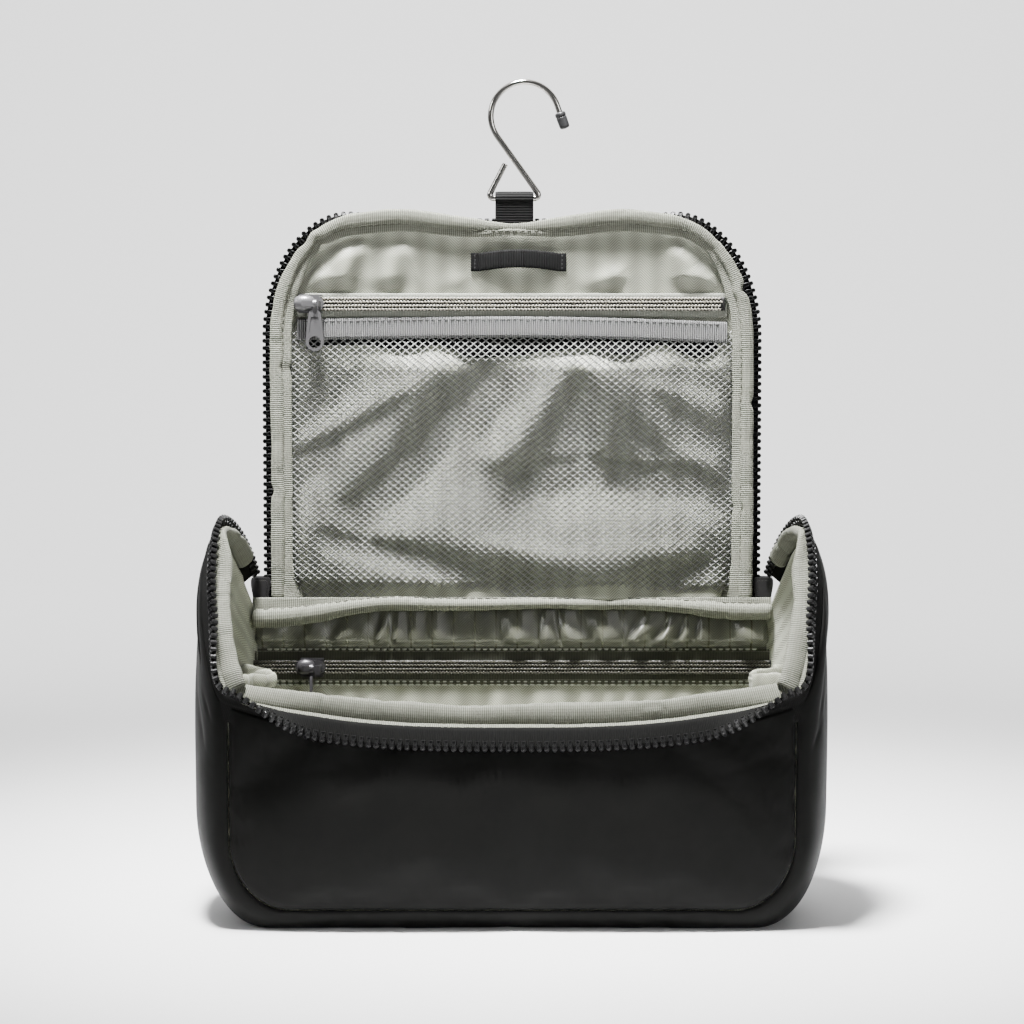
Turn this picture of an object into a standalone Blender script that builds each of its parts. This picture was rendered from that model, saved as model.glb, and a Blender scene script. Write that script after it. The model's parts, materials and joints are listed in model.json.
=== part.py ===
"""Hanging toiletry bag, standing open with its lid raised on a wire hook.

Metres. +Z is up, the front faces -Y and +X is to the right seen from the front. The origin is the
centre of the base. Fabric walls are built as the layers that they are sewn from: a coated outer panel,
a sheet of foam and a lining, each a closed solid 0.3 mm from the next.
"""

import math

import bmesh
import bpy
from mathutils import Vector

# ---- Driving dimensions -------------------------------------------------------------------------
GAP = 0.0003  # left between pieces that touch
SEAM_GAP = 0.0006  # left between a wall and the gusset round it

HALF_DEPTH = 0.050  # seam of the front panel to the middle of the gusset
SEAM_HALF_FRONT = 0.1145  # half the front panel's width
SEAM_HALF_BACK = 0.1120
BULGE = 0.0175  # how far the gusset swells past its seams
FRONT_POWER = 0.5  # roundness of that swelling towards each seam
BACK_POWER = 0.75
CORNER_WIDTH = 0.025  # bottom corner, across
CORNER_HEIGHT = 0.030  # bottom corner, up, at the seams
CORNER_EXTRA = 0.018  # and how much taller it is at mid-depth
FLAT_HALF_DEPTH = 0.038  # the flat part of the base
FLOOR_ROUND = 0.008  # height of the seams above the base

EAR_TOP = 0.155  # the gusset's highest edge
EAR_TOP_Y = 0.004
EAR_FRONT = 0.0915  # gusset edge where it meets the front panel
EAR_BACK = 0.117  # gusset edge where it meets the back panel
EAR_LEAN = 0.008  # how far the ear leans in at its top
LEAN_START = 0.120
FRONT_DIP = 0.0778  # front panel's top edge at its middle
FRONT_PILLOW = 0.0035  # how far the front panel swells

BACK_TOP = 0.1218  # top edge of the back wall
LID_FOLD_Y = 0.0427  # both lid folds are on the face of the lid's binding
LID_FOLD_Z = 0.1250
LID_BEND_Z = 0.2090

LID_HALF = 0.1075  # outside of the lid's teeth
LID_TOP = 0.2930
LID_CORNER_WIDTH = 0.040
LID_CORNER_HEIGHT = 0.055
LID_PANEL_INSET = 0.008  # the lid's fabric ends this far inside its teeth
LID_BOTTOM = LID_FOLD_Z + GAP

# Layers of a body wall: (outer face, inner face), measured in from the outside.
OUTER = (0.0, 0.0012)
FOAM = (0.0015, 0.0029)
LINING = (0.0032, 0.0040)
# Layers of the back wall, which also holds a flat pocket.
BACK_FOAM = (0.0015, 0.0025)
BACK_POCKET = (0.0028, 0.0034)
BACK_LINING = (0.0037, 0.0043)
# Layers of the lid, as places on Y.
LID_MESH_Y = (0.0455, 0.0461)
LID_LINING_Y = (0.0464, 0.0472)
LID_FOAM_Y = (0.0475, 0.0489)
LID_SHELL_Y = (0.0492, 0.0504)
LID_BINDING_Y = (LID_FOLD_Y, 0.0452)
LID_TAPE_Y = 0.0479

ZIP_TAPE_WIDTH = 0.0050
ZIP_TAPE_HALF = 0.00035
ZIP_TEETH_WIDTH = 0.0032
BODY_BINDING_END_Y = 0.032  # clear of the main sliders as the lid folds
ZIP_TEETH_HALF = 0.0013
COIL_HALF = 0.0028

MESH_TOP = 0.2430
LID_ZIP_Z = 0.2528
REAR_ZIP_Z = 0.0958
REAR_ZIP_HALF = 0.0965
LID_ZIP_HALF = 0.0925

HOOK_Y = 0.0479
HOOK_BAR_Z = 0.2980
WIRE_RADIUS = 0.0013
LOOP_X = 0.0010
LOOP_HALF = 0.0082
LOOP_FOOT = 0.2875

SLIDER_X = 0.1088  # middle of each main slider
MAIN_SLIDER_Z = 0.1297
POCKET_SLIDER_X = -0.0865
PULL_LENGTH = 0.0200

FRAME_SHIFT_Y = 0.00095  # moves the whole bag so that the origin is the middle of its box

COLOURS = {
    "coated_fabric": ((0.018, 0.018, 0.017), 0.62, 0.0),
    "foam": ((0.25, 0.25, 0.25), 0.9, 0.0),
    "lining": ((0.42, 0.43, 0.37), 0.55, 0.0),
    "binding": ((0.47, 0.48, 0.42), 0.75, 0.0),
    "mesh": ((0.36, 0.37, 0.36), 0.7, 0.0),
    "grey_tape": ((0.30, 0.30, 0.29), 0.75, 0.0),
    "black_tape": ((0.015, 0.015, 0.015), 0.8, 0.0),
    "black_zip": ((0.012, 0.012, 0.012), 0.35, 0.0),
    "grey_coil": ((0.45, 0.44, 0.40), 0.4, 0.0),
    "dark_coil": ((0.07, 0.07, 0.06), 0.4, 0.0),
    "grey_metal": ((0.30, 0.30, 0.30), 0.35, 0.6),
    "dark_metal": ((0.05, 0.05, 0.055), 0.35, 0.6),
    "steel_wire": ((0.55, 0.53, 0.50), 0.12, 1.0),
    "rubber": ((0.03, 0.03, 0.03), 0.5, 0.0),
}


# ---- Making objects -----------------------------------------------------------------------------
def clear_scene():
    for obj in list(bpy.data.objects):
        bpy.data.objects.remove(obj)


def material(name):
    found = bpy.data.materials.get(name)
    if found:
        return found
    colour, roughness, metallic = COLOURS[name]
    made = bpy.data.materials.new(name)
    made.use_nodes = True
    shader = made.node_tree.nodes["Principled BSDF"]
    shader.inputs["Base Color"].default_value = (*colour, 1.0)
    shader.inputs["Roughness"].default_value = roughness
    shader.inputs["Metallic"].default_value = metallic
    made.diffuse_color = (*colour, 1.0)
    return made


def place(name, bm, finish, origin=None, smooth_angle=40):
    """The bmesh as a named object under the bag's frame, with its own origin at origin."""
    bmesh.ops.recalc_face_normals(bm, faces=bm.faces)
    if origin is not None:
        bmesh.ops.translate(bm, verts=bm.verts, vec=-Vector(origin))
    mesh = bpy.data.meshes.new(name)
    bm.to_mesh(mesh)
    bm.free()
    mesh.shade_smooth()
    mesh.set_sharp_from_angle(angle=math.radians(smooth_angle))
    mesh.materials.append(material(finish))
    obj = bpy.data.objects.new(name, mesh)
    bpy.context.scene.collection.objects.link(obj)
    obj.parent = bpy.data.objects["bag_frame"]
    if origin is not None:
        obj.location = origin
    return obj


def sheet_solid(name, outer, inner, finish):
    """A closed sheet between two grids of points of the same size."""
    bm = bmesh.new()
    faces_of = [[[bm.verts.new(p) for p in row] for row in grid] for grid in (outer, inner)]
    rows, columns = len(outer), len(outer[0])
    for grid in faces_of:
        for i in range(rows - 1):
            for j in range(columns - 1):
                bm.faces.new((grid[i][j], grid[i][j + 1], grid[i + 1][j + 1], grid[i + 1][j]))
    front, back = faces_of
    rim = [(0, j) for j in range(columns - 1)]
    rim += [(i, columns - 1) for i in range(rows - 1)]
    rim += [(rows - 1, j) for j in range(columns - 1, 0, -1)]
    rim += [(i, 0) for i in range(rows - 1, 0, -1)]
    for (i, j), (k, m) in zip(rim, rim[1:] + rim[:1]):
        bm.faces.new((front[i][j], front[k][m], back[k][m], back[i][j]))
    return place(name, bm, finish)


def swept(name, rings, finish, closed=False):
    """A closed bar through rings of points, one ring at each station along its path."""
    bm = bmesh.new()
    loops = [[bm.verts.new(p) for p in ring] for ring in rings]
    sides = len(rings[0])
    pairs = list(zip(loops, loops[1:]))
    if closed:
        pairs.append((loops[-1], loops[0]))
    for a, b in pairs:
        for k in range(sides):
            bm.faces.new((a[k], a[(k + 1) % sides], b[(k + 1) % sides], b[k]))
    if not closed:
        bm.faces.new(loops[0])
        bm.faces.new(loops[-1][::-1])
    return place(name, bm, finish)


def block(name, low, high, finish, bevel=0.0, origin=None):
    bm = bmesh.new()
    bmesh.ops.create_cube(bm, size=1.0)
    low, high = Vector(low), Vector(high)
    for v in bm.verts:
        v.co = Vector([low[k] + (v.co[k] + 0.5) * (high[k] - low[k]) for k in range(3)])
    if bevel:
        bmesh.ops.bevel(bm, geom=bm.edges[:], offset=bevel, segments=1, affect="EDGES")
    return place(name, bm, finish, origin)


def plate(name, outline, span, finish, origin=None, plane="xz"):
    """A flat piece cut to an outline of (across, up) points, span being its reach through the plane."""
    low, high = span
    thick = Vector((0, high - low, 0)) if plane == "xz" else Vector((high - low, 0, 0))
    bm = bmesh.new()
    corners = [(a, low, b) if plane == "xz" else (low, a, b) for a, b in outline]
    face = bm.faces.new([bm.verts.new(corner) for corner in corners])
    grown = bmesh.ops.extrude_face_region(bm, geom=[face])["geom"]
    moved = [g for g in grown if isinstance(g, bmesh.types.BMVert)]
    bmesh.ops.translate(bm, verts=moved, vec=thick)
    return place(name, bm, finish, origin)


def join_to(obj, *others):
    """Boolean unions of the others into obj, which stay as hidden helpers."""
    for other in others:
        union = obj.modifiers.new("join_" + other.name, "BOOLEAN")
        union.operation = "UNION"
        union.object = other
        other.hide_render = True
        other.display_type = "WIRE"
    return obj


def cut_from(obj, *cutters):
    for cutter in cutters:
        cut = obj.modifiers.new("cut_" + cutter.name, "BOOLEAN")
        cut.operation = "DIFFERENCE"
        cut.object = cutter
        cutter.hide_render = True
        cutter.display_type = "WIRE"
    return obj


def arc(centre, radius, start, end, steps):
    """Points (x, z) on an arc, in degrees, its radius one number or (across, up)."""
    across, up = radius if isinstance(radius, tuple) else (radius, radius)
    turns = [math.radians(start + (end - start) * k / steps) for k in range(steps + 1)]
    return [(centre[0] + across * math.cos(t), centre[1] + up * math.sin(t)) for t in turns]


# ---- The body's shape ---------------------------------------------------------------------------
def half_width(y, z):
    """Half the bag's width on the outside of the gusset."""
    along = (y + HALF_DEPTH) / (2 * HALF_DEPTH)
    seam = SEAM_HALF_FRONT + (SEAM_HALF_BACK - SEAM_HALF_FRONT) * along
    power = FRONT_POWER if y < 0 else BACK_POWER
    swell = BULGE * max(0.0, 1 - (y / HALF_DEPTH) ** 2) ** power
    lean = EAR_LEAN * max(0.0, (z - LEAN_START) / (EAR_TOP - LEAN_START)) ** 2
    return seam + swell - lean


def ear_edge(y):
    """Height of the gusset's top edge: an arch from the back seam over to the front seam."""
    if y < EAR_TOP_Y:
        return EAR_TOP - (EAR_TOP - EAR_FRONT) * ((EAR_TOP_Y - y) / (EAR_TOP_Y + HALF_DEPTH)) ** 2
    return EAR_TOP - (EAR_TOP - EAR_BACK) * ((y - EAR_TOP_Y) / (HALF_DEPTH - EAR_TOP_Y)) ** 1.8


def front_edge(x):
    """Height of the front panel's top edge, which dips in the middle."""
    return FRONT_DIP + (EAR_FRONT - FRONT_DIP) * abs(x / SEAM_HALF_FRONT) ** 3


def floor_height(y):
    over = max(0.0, abs(y) - FLAT_HALF_DEPTH) / (HALF_DEPTH - FLAT_HALF_DEPTH)
    return FLOOR_ROUND * (1 - math.sqrt(max(0.0, 1 - over**2)))


def corner_at(y):
    """(centre x, centre z, height) of the bottom corner's ellipse."""
    height = CORNER_HEIGHT + CORNER_EXTRA * math.sqrt(max(0.0, 1 - (y / HALF_DEPTH) ** 2))
    knee = floor_height(y) + height
    return half_width(y, knee) - CORNER_WIDTH, knee, height


def gusset_outline(y):
    """Points (x, z) down the left side, across the bottom and up the right side."""
    centre, knee, height = corner_at(y)
    bottom = [(centre * k / 3, floor_height(y)) for k in range(3)]
    corner = arc((centre, knee), (CORNER_WIDTH, height), -90, 0, 5)
    top = ear_edge(y)
    heights = [knee + (top - knee) * k / 6 for k in range(1, 7)]
    right = bottom + corner + [(half_width(y, z), z) for z in heights]
    return [(-x, z) for x, z in right[:0:-1]] + right


def gusset_grid():
    """The gusset's outside as rows of points and the outward direction at each."""
    depths = [-0.050, -0.047, -0.040, -0.029, -0.017, -0.005, 0.008, 0.020, 0.031, 0.040, 0.046, 0.050]
    points = [[Vector((x, y, z)) for x, z in gusset_outline(y)] for y in depths]
    outward = []
    last = len(depths) - 1
    for i, row in enumerate(points):
        ways = []
        for j in range(len(row)):
            along = row[min(j + 1, len(row) - 1)] - row[max(j - 1, 0)]
            across = points[min(i + 1, last)][j] - points[max(i - 1, 0)][j]
            way = across.cross(along).normalized()
            ways.append(way)
        outward.append(ways)
    if outward[last // 2][0].x > 0:
        outward = [[-way for way in ways] for ways in outward]
    outward[0] = [Vector((0, -1, 0))] * len(points[0])
    outward[-1] = [Vector((0, 1, 0))] * len(points[0])
    return points, outward


def layer(points, outward, inset):
    return [[p - way * inset for p, way in zip(*rows)] for rows in zip(points, outward)]


def build_gusset():
    points, outward = gusset_grid()
    for name, faces, finish in (
        ("gusset_panel", OUTER, "coated_fabric"),
        ("gusset_foam", FOAM, "foam"),
        ("gusset_lining", LINING, "lining"),
    ):
        outside, inside = (layer(points, outward, inset) for inset in faces)
        sheet_solid(name, outside, inside, finish)


def wall_grid(half, height_of_top, y_seam, columns, rows):
    """Points of a front or back wall inside the gusset's seam, its columns closer at the corners."""
    centre, knee, height = corner_at(y_seam)
    edge = half - SEAM_GAP
    grid = []
    for k in range(columns + 1):
        x = edge * math.sin(math.pi * (k / columns - 0.5))
        over = min(1.0, max(0.0, abs(x) - centre) / (CORNER_WIDTH - SEAM_GAP))
        low = knee - (height - SEAM_GAP) * math.sqrt(1 - over**2)
        top = height_of_top(x)
        grid.append([Vector((x, y_seam, low + (top - low) * r / rows)) for r in range(rows + 1)])
    return grid


def swollen(grid, half, amount, inset, inward):
    """The grid moved inset inwards, with its middle pushed out by amount."""
    moved = []
    for column in grid:
        low, top = column[0].z, column[-1].z
        made = []
        for p in column:
            up = (p.z - low) / (top - low)
            swell = amount * (1 - (p.x / half) ** 4) * math.sin(math.pi * up)
            made.append(p + Vector((0, inward * (inset - swell), 0)))
        moved.append(made)
    return moved


def build_front_wall():
    grid = wall_grid(SEAM_HALF_FRONT, front_edge, -HALF_DEPTH, 18, 5)
    for name, faces, finish in (
        ("front_panel", OUTER, "coated_fabric"),
        ("front_foam", FOAM, "foam"),
        ("front_lining", LINING, "lining"),
    ):
        outside, inside = (
            swollen(grid, SEAM_HALF_FRONT, FRONT_PILLOW, inset, 1) for inset in faces
        )
        sheet_solid(name, outside, inside, finish)


def build_back_wall():
    for name, faces, finish, half, top in (
        ("back_panel", OUTER, "coated_fabric", SEAM_HALF_BACK, BACK_TOP),
        ("back_foam", BACK_FOAM, "foam", SEAM_HALF_BACK, BACK_TOP),
        ("rear_pocket_bag", BACK_POCKET, "lining", SEAM_HALF_BACK, REAR_ZIP_Z),
        ("back_lining", BACK_LINING, "lining", SEAM_HALF_BACK, BACK_TOP),
    ):
        grid = wall_grid(half, lambda x, top=top: top, HALF_DEPTH, 12, 1)
        outside, inside = (swollen(grid, half, 0.0, inset, -1) for inset in faces)
        sheet_solid(name, outside, inside, finish)


# ---- The body's opening -------------------------------------------------------------------------
def ear_outward(y, z):
    step = 0.0005
    y = min(y, HALF_DEPTH - 2 * step)
    slope_y = (half_width(y + step, z) - half_width(max(y - step, -HALF_DEPTH), z)) / (2 * step)
    slope_z = (half_width(y, z + step) - half_width(y, z - step)) / (2 * step)
    return Vector((1, -slope_y, -slope_z)).normalized()


def opening_stations(y_start):
    """Stations (point, outward, upward, fold) round the opening, from the right ear's back edge.

    fold is the turn of the zip tape, in degrees: 0 in line with the wall, 90 straight outwards.
    """
    right = []
    steps = 15
    for k in range(steps):
        turn = math.pi / 2 * k / steps
        y = -HALF_DEPTH + (y_start + HALF_DEPTH) * (1 - math.sin(turn))
        z = ear_edge(y)
        right.append((Vector((half_width(y, z), y, z)), ear_outward(y, z)))
    for x in (1.0, 0.9, 0.78, 0.64, 0.46, 0.24):
        x *= SEAM_HALF_FRONT
        right.append((Vector((x, -HALF_DEPTH, front_edge(x))), Vector((0, -1, 0))))
    middle = [(Vector((0, -HALF_DEPTH, front_edge(0))), Vector((0, -1, 0)))]
    flip = Vector((-1, 1, 1))
    left = [(p * flip, way * flip) for p, way in reversed(right)]
    line = right + middle + left
    stations = []
    for i, (point, outward) in enumerate(line):
        along = line[min(i + 1, len(line) - 1)][0] - line[max(i - 1, 0)][0]
        upward = outward.cross(along).normalized()
        if upward.z < 0:
            upward = -upward
        outward = along.cross(upward).normalized() * (1 if along.cross(upward).dot(outward) > 0 else -1)
        stations.append((point, outward, upward, fold_at(point)))
    return stations


def fold_at(point):
    """The tape lies in line with the wall on the ears, and folds outwards along the front."""
    if point.y > -HALF_DEPTH + 1e-6:
        share = 0.35 * max(0.0, (-0.035 - point.y) / 0.015)
    else:
        share = 0.35 + 0.65 * min(1.0, (SEAM_HALF_FRONT - abs(point.x)) / 0.035)
    return 100 * share


def tape_frame(station):
    """(start of the zip tape, its direction away from the wall, its face direction)."""
    point, outward, upward, fold = station
    turn = math.radians(fold)
    away = upward * math.cos(turn) + outward * math.sin(turn)
    face = outward * math.cos(turn) - upward * math.sin(turn)
    start = point - outward * 0.0002 + upward * 0.0013
    return start, away, face


def bar_ring(start, away, face, span, half):
    return [
        start + away * span[0] - face * half,
        start + away * span[1] - face * half,
        start + away * span[1] + face * half,
        start + away * span[0] + face * half,
    ]


def roll_ring(centre, across, up, half_across, half_up, sides=8):
    turns = [2 * math.pi * k / sides for k in range(sides)]
    return [
        centre + across * (half_across * math.cos(t)) + up * (half_up * math.sin(t)) for t in turns
    ]


def build_opening():
    stations = opening_stations(0.0395)
    tape = (0.0, ZIP_TAPE_WIDTH)
    teeth = (ZIP_TAPE_WIDTH + 0.0005, ZIP_TAPE_WIDTH + 0.0005 + ZIP_TEETH_WIDTH)
    frames = [tape_frame(s) for s in stations]
    swept("body_zip_tape", [bar_ring(*f, tape, ZIP_TAPE_HALF) for f in frames], "black_tape")
    swept("body_zip_teeth", [bar_ring(*f, teeth, ZIP_TEETH_HALF) for f in frames], "black_zip")
    rolls = []
    for point, outward, upward, fold in stations:
        if point.y > BODY_BINDING_END_Y:
            continue
        lift = 0.0056 + 0.0018 * fold / 100
        half_up = 0.0046 + 0.0018 * fold / 100
        centre = point - outward * 0.0036 + upward * lift
        rolls.append(roll_ring(centre, outward, upward, 0.0017, half_up))
    swept("body_binding", rolls, "binding")


def build_hinge_binding():
    """The roll across the top of the back wall, in front of the lid's fold."""
    half = 0.1105
    centre = Vector((0, 0.0427, 0.1186))
    rings = []
    for x in (-half, -half / 2, 0, half / 2, half):
        rings.append(
            roll_ring(centre + Vector((x, 0, 0)), Vector((0, 1, 0)), Vector((0, 0, 1)), 0.0021, 0.0058)
        )
    swept("hinge_binding", rings, "binding")


# ---- Pockets inside the body --------------------------------------------------------------------
def build_side_pockets():
    """A gathered pocket on each side of the gusset, with an elastic hem along its top."""
    depths = [-0.034, -0.018, 0.0, 0.018, 0.034]
    for side, name in ((-1, "left"), (1, "right")):
        for part, low, high, insets in (
            ("side_pocket", 0.034, 0.0920, (0.0072, 0.0078)),
            ("side_pocket_hem", 0.0923, 0.0985, (0.0064, 0.0086)),
        ):
            heights = [low + (high - low) * k / 3 for k in range(4)]
            sheets = [
                [[Vector((side * (half_width(y, z) - inset), y, z)) for z in heights] for y in depths]
                for inset in insets
            ]
            sheet_solid(f"{part}_{name}", *sheets, "lining")


def build_pocket_zip(prefix, z, half, tape_y, coil_y, finishes, tab_plane):
    """A coil zip along X, with its slider at the left end and a pull hanging from it."""
    tape_finish, coil_finish, slider_finish = finishes
    block(
        f"{prefix}_zip_tape",
        (-half, tape_y[0], z - 0.0058),
        (half, tape_y[1], z + 0.0058),
        tape_finish,
    )
    block(
        f"{prefix}_coil",
        (-half + 0.001, coil_y[0], z - COIL_HALF),
        (half - 0.001, coil_y[1], z + COIL_HALF),
        coil_finish,
        bevel=0.0007,
    )
    build_pocket_slider(prefix, z, coil_y[0], slider_finish, tab_plane)


def build_pocket_slider(prefix, z, coil_face, finish, tab_plane):
    """A plate with two flanges over the coil, a bridge along the zip, and a pull round the bridge."""
    x = POCKET_SLIDER_X
    top = coil_face - GAP
    crown = top - 0.0011
    axle = crown - 0.0023
    body = block(
        f"{prefix}_slider",
        (x - 0.0058, crown, z - 0.0042),
        (x + 0.0058, top, z + 0.0042),
        finish,
        bevel=0.0004,
    )
    flanges = [
        block(
            f"{prefix}_flange_{k}",
            (x - 0.0050, top - 0.0006, z + side * 0.0036 - 0.00045),
            (x + 0.0050, coil_face + 0.0013, z + side * 0.0036 + 0.00045),
            finish,
        )
        for k, side in enumerate((-1, 1))
    ]
    posts = [
        block(
            f"{prefix}_post_{k}",
            (x + side * 0.0037 - 0.0007, axle - 0.0005, z - 0.0008),
            (x + side * 0.0037 + 0.0007, crown + 0.0003, z + 0.0008),
            finish,
        )
        for k, side in enumerate((-1, 1))
    ]
    bridge = block(
        f"{prefix}_bridge",
        (x - 0.0040, axle - 0.0006, z - 0.0006),
        (x + 0.0040, axle + 0.0005, z + 0.0006),
        finish,
    )
    join_to(body, *flanges, *posts, bridge)
    build_hanging_pull(f"{prefix}_pull", (x, axle, z), tab_plane, finish)


def tab_outline(top):
    """Half-widths and drops of a pull tab that starts top below its axle and has a round end."""
    low = -PULL_LENGTH + 0.0036
    right = [(0.0026, top), (0.0033, top - 0.0010), (0.0039, low)]
    end = arc((0, low), 0.0039, -20, -160, 6)
    return right + end + [(-a, b) for a, b in right[::-1]]


def build_hanging_pull(name, axle, tab_plane, finish):
    """A pull whose eye runs round a bridge along X, with its tab facing Y or edge-on to Y."""
    x, y, z = axle
    ring = [(y + a, z + b) for a, b in arc((0, 0), 0.0019, 0, 348, 29)]
    pull = plate(name, ring, (x - 0.0009, x + 0.0009), finish, plane="yz", origin=axle)
    neck = block(
        name + "_neck",
        (x - 0.0009, y - 0.0007, z - 0.0036),
        (x + 0.0009, y + 0.0007, z - 0.0014),
        finish,
    )
    hole = plate(
        name + "_eye",
        [(y + a, z + b) for a, b in arc((0, 0), 0.0011, 0, 345, 23)],
        (x - 0.002, x + 0.002),
        finish,
        plane="yz",
    )
    across, middle = (x, y) if tab_plane == "xz" else (y - 0.0018, x)
    outline = [(across + a, z + b) for a, b in tab_outline(-0.0032)]
    tab = plate(name + "_tab", outline, (middle - 0.0006, middle + 0.0006), finish, plane=tab_plane)
    round_hole = arc((across, z - PULL_LENGTH + 0.0036), 0.0016, 0, 330, 11)
    tab_hole = plate(
        name + "_hole", round_hole, (middle - 0.002, middle + 0.002), finish, plane=tab_plane
    )
    join_to(pull, neck, tab)
    cut_from(pull, hole, tab_hole)


def build_flat_pull(name, axle, finish):
    """A flat pull whose top bar turns under a bridge along Z, with the bridge's foot through its eye."""
    x, y, z = axle
    outline = [(x + a, z + b) for a, b in tab_outline(0.0007)]
    pull = plate(name, outline, (y - 0.0006, y + 0.0006), finish, origin=axle)
    eye = block(
        name + "_eye",
        (x - 0.0015, y - 0.003, z - 0.0062),
        (x + 0.0015, y + 0.003, z - 0.0007),
        finish,
    )
    hole = plate(
        name + "_hole",
        arc((x, z - PULL_LENGTH + 0.0036), 0.0016, 0, 330, 11),
        (y - 0.002, y + 0.002),
        finish,
    )
    cut_from(pull, eye, hole)


# ---- The lid ------------------------------------------------------------------------------------
def lid_outline(inset, top_inset=None):
    """Points (x, z) up the right side of the lid's upper part, over its top and down the left."""
    top_inset = inset if top_inset is None else top_inset
    centre = (LID_HALF - LID_CORNER_WIDTH, LID_TOP - LID_CORNER_HEIGHT)
    radius = (LID_CORNER_WIDTH - inset, LID_CORNER_HEIGHT - top_inset)
    right = [(LID_HALF - inset, LID_BEND_Z + GAP)] + arc(centre, radius, 0, 90, 8)
    return right + [(-x, z) for x, z in right[::-1]]


def build_lid_layers():
    half = LID_HALF - LID_PANEL_INSET
    for name, y_range, finish in (
        ("lid_lining", LID_LINING_Y, "lining"),
        ("lid_foam", LID_FOAM_Y, "foam"),
        ("lid_shell", LID_SHELL_Y, "coated_fabric"),
    ):
        block(
            f"{name}_lower",
            (-half, y_range[0], LID_BOTTOM),
            (half, y_range[1], LID_BEND_Z - GAP),
            finish,
        )
        plate(f"{name}_upper", lid_outline(LID_PANEL_INSET), y_range, finish)
    mesh_half = LID_HALF - 0.0115
    near, far = LID_MESH_Y
    block("lid_mesh_lower", (-mesh_half, near, LID_BOTTOM), (mesh_half, far, LID_BEND_Z - GAP), "mesh")
    block("lid_mesh_upper", (-mesh_half, near, LID_BEND_Z + GAP), (mesh_half, far, MESH_TOP), "mesh")
    block(
        "lid_pocket_band",
        (-LID_ZIP_HALF, 0.0443, MESH_TOP - 0.0055),
        (LID_ZIP_HALF, 0.0452, MESH_TOP + 0.0036),
        "grey_tape",
    )


def lid_edge_stations():
    """(point, away, fold) along the edge of the lid's upper part, on the outside of its fabric."""
    outline = lid_outline(LID_PANEL_INSET)
    top = [(LID_HALF - LID_CORNER_WIDTH) * k / 4 for k in range(3, -4, -1)]
    line = outline[:10] + [(x, LID_TOP - LID_PANEL_INSET) for x in top] + outline[10:]
    stations = []
    for i, (x, z) in enumerate(line):
        before, after = line[max(i - 1, 0)], line[min(i + 1, len(line) - 1)]
        along = Vector((after[0] - before[0], 0, after[1] - before[1]))
        away = Vector((along.z, 0, -along.x)).normalized()
        if i in (0, len(line) - 1):
            away = Vector((math.copysign(1, x), 0, 0))
        fold = 80 * min(1.0, max(0.0, (0.070 - abs(x)) / 0.022))
        stations.append((Vector((x, LID_TAPE_Y, z)), away, fold))
    return stations


def build_lid_edges():
    """Zip tape, teeth and binding round the lid: a straight run each side below the bend, one arch above."""
    outward = Vector((0, 1, 0))
    runs = {
        "zip_tape": ((GAP, 0.0038), ZIP_TAPE_HALF, "black_tape"),
        "zip_teeth": ((LID_PANEL_INSET - ZIP_TEETH_WIDTH, LID_PANEL_INSET), ZIP_TEETH_HALF, "black_zip"),
    }
    for part, (span, half, finish) in runs.items():
        rings = []
        for point, away, fold in lid_edge_stations():
            turn = math.radians(fold)
            way = away * math.cos(turn) + outward * math.sin(turn)
            face = outward * math.cos(turn) - away * math.sin(turn)
            start = point + away * (0.0009 * min(1.0, fold / 20))
            rings.append(bar_ring(start, way, face, span, half))
        swept(f"lid_{part}_upper", rings, finish)
        inner = LID_HALF - LID_PANEL_INSET
        for side, name in ((-1, "left"), (1, "right")):
            x_range = sorted((side * (inner + span[0]), side * (inner + span[1])))
            start = LID_BOTTOM if part == "zip_tape" else LID_BOTTOM + 0.0004
            block(
                f"lid_{part}_{name}",
                (x_range[0], LID_TAPE_Y - half, start),
                (x_range[1], LID_TAPE_Y + half, LID_BEND_Z - GAP),
                finish,
            )
    build_lid_binding()


def build_lid_binding():
    near, far = LID_BINDING_Y
    middle, thick = (near + far) / 2, (far - near) / 2
    span = (-0.0042, 0.0046)
    rings = []
    for point, away, _ in lid_edge_stations():
        point = Vector((point.x, middle, point.z))
        pinch = min(1.0, max(0.0, (abs(point.x - LOOP_X) - 0.004) / 0.030))
        centre = point + away * (sum(span) / 2 + 0.0020 * (1 - pinch))
        half_up = 0.0012 + ((span[1] - span[0]) / 2 - 0.0012) * pinch
        rings.append(roll_ring(centre, Vector((0, 1, 0)), away, thick * (0.55 + 0.45 * pinch), half_up, 6))
    swept("lid_binding_upper", rings, "binding")
    inner = LID_HALF - LID_PANEL_INSET
    for side, name in ((-1, "left"), (1, "right")):
        x_range = sorted((side * (inner + span[0]), side * (inner + span[1])))
        block(
            f"lid_binding_{name}",
            (x_range[0], near, LID_BOTTOM),
            (x_range[1], far, LID_BEND_Z - GAP),
            "binding",
            bevel=0.0008,
        )


# ---- Loop, hook and strap -----------------------------------------------------------------------
def build_webbing_loop():
    """Webbing folded over the hook's bar, both legs running down to the lid's top edge."""
    thick, inner = 0.0011, WIRE_RADIUS + 0.0005
    middle = inner + thick / 2
    path = [(0.0008, LOOP_FOOT), (0.0011, LOOP_FOOT + 0.004)]
    path += arc((0.0, HOOK_BAR_Z), middle, -40, 220, 12)
    path += [(-0.0011, LOOP_FOOT + 0.004), (-0.0008, LOOP_FOOT)]
    rings = []
    for i, (y, z) in enumerate(path):
        before, after = path[max(i - 1, 0)], path[min(i + 1, len(path) - 1)]
        along = Vector((0, after[0] - before[0], after[1] - before[1])).normalized()
        across = Vector((0, along.z, -along.y)) * (thick / 2)
        centre = Vector((LOOP_X, HOOK_Y + y, z))
        wide = Vector((LOOP_HALF, 0, 0))
        rings.append([centre - wide - across, centre + wide - across,
                      centre + wide + across, centre - wide + across])  # fmt: skip
    swept("webbing_loop", rings, "black_tape")


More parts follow.
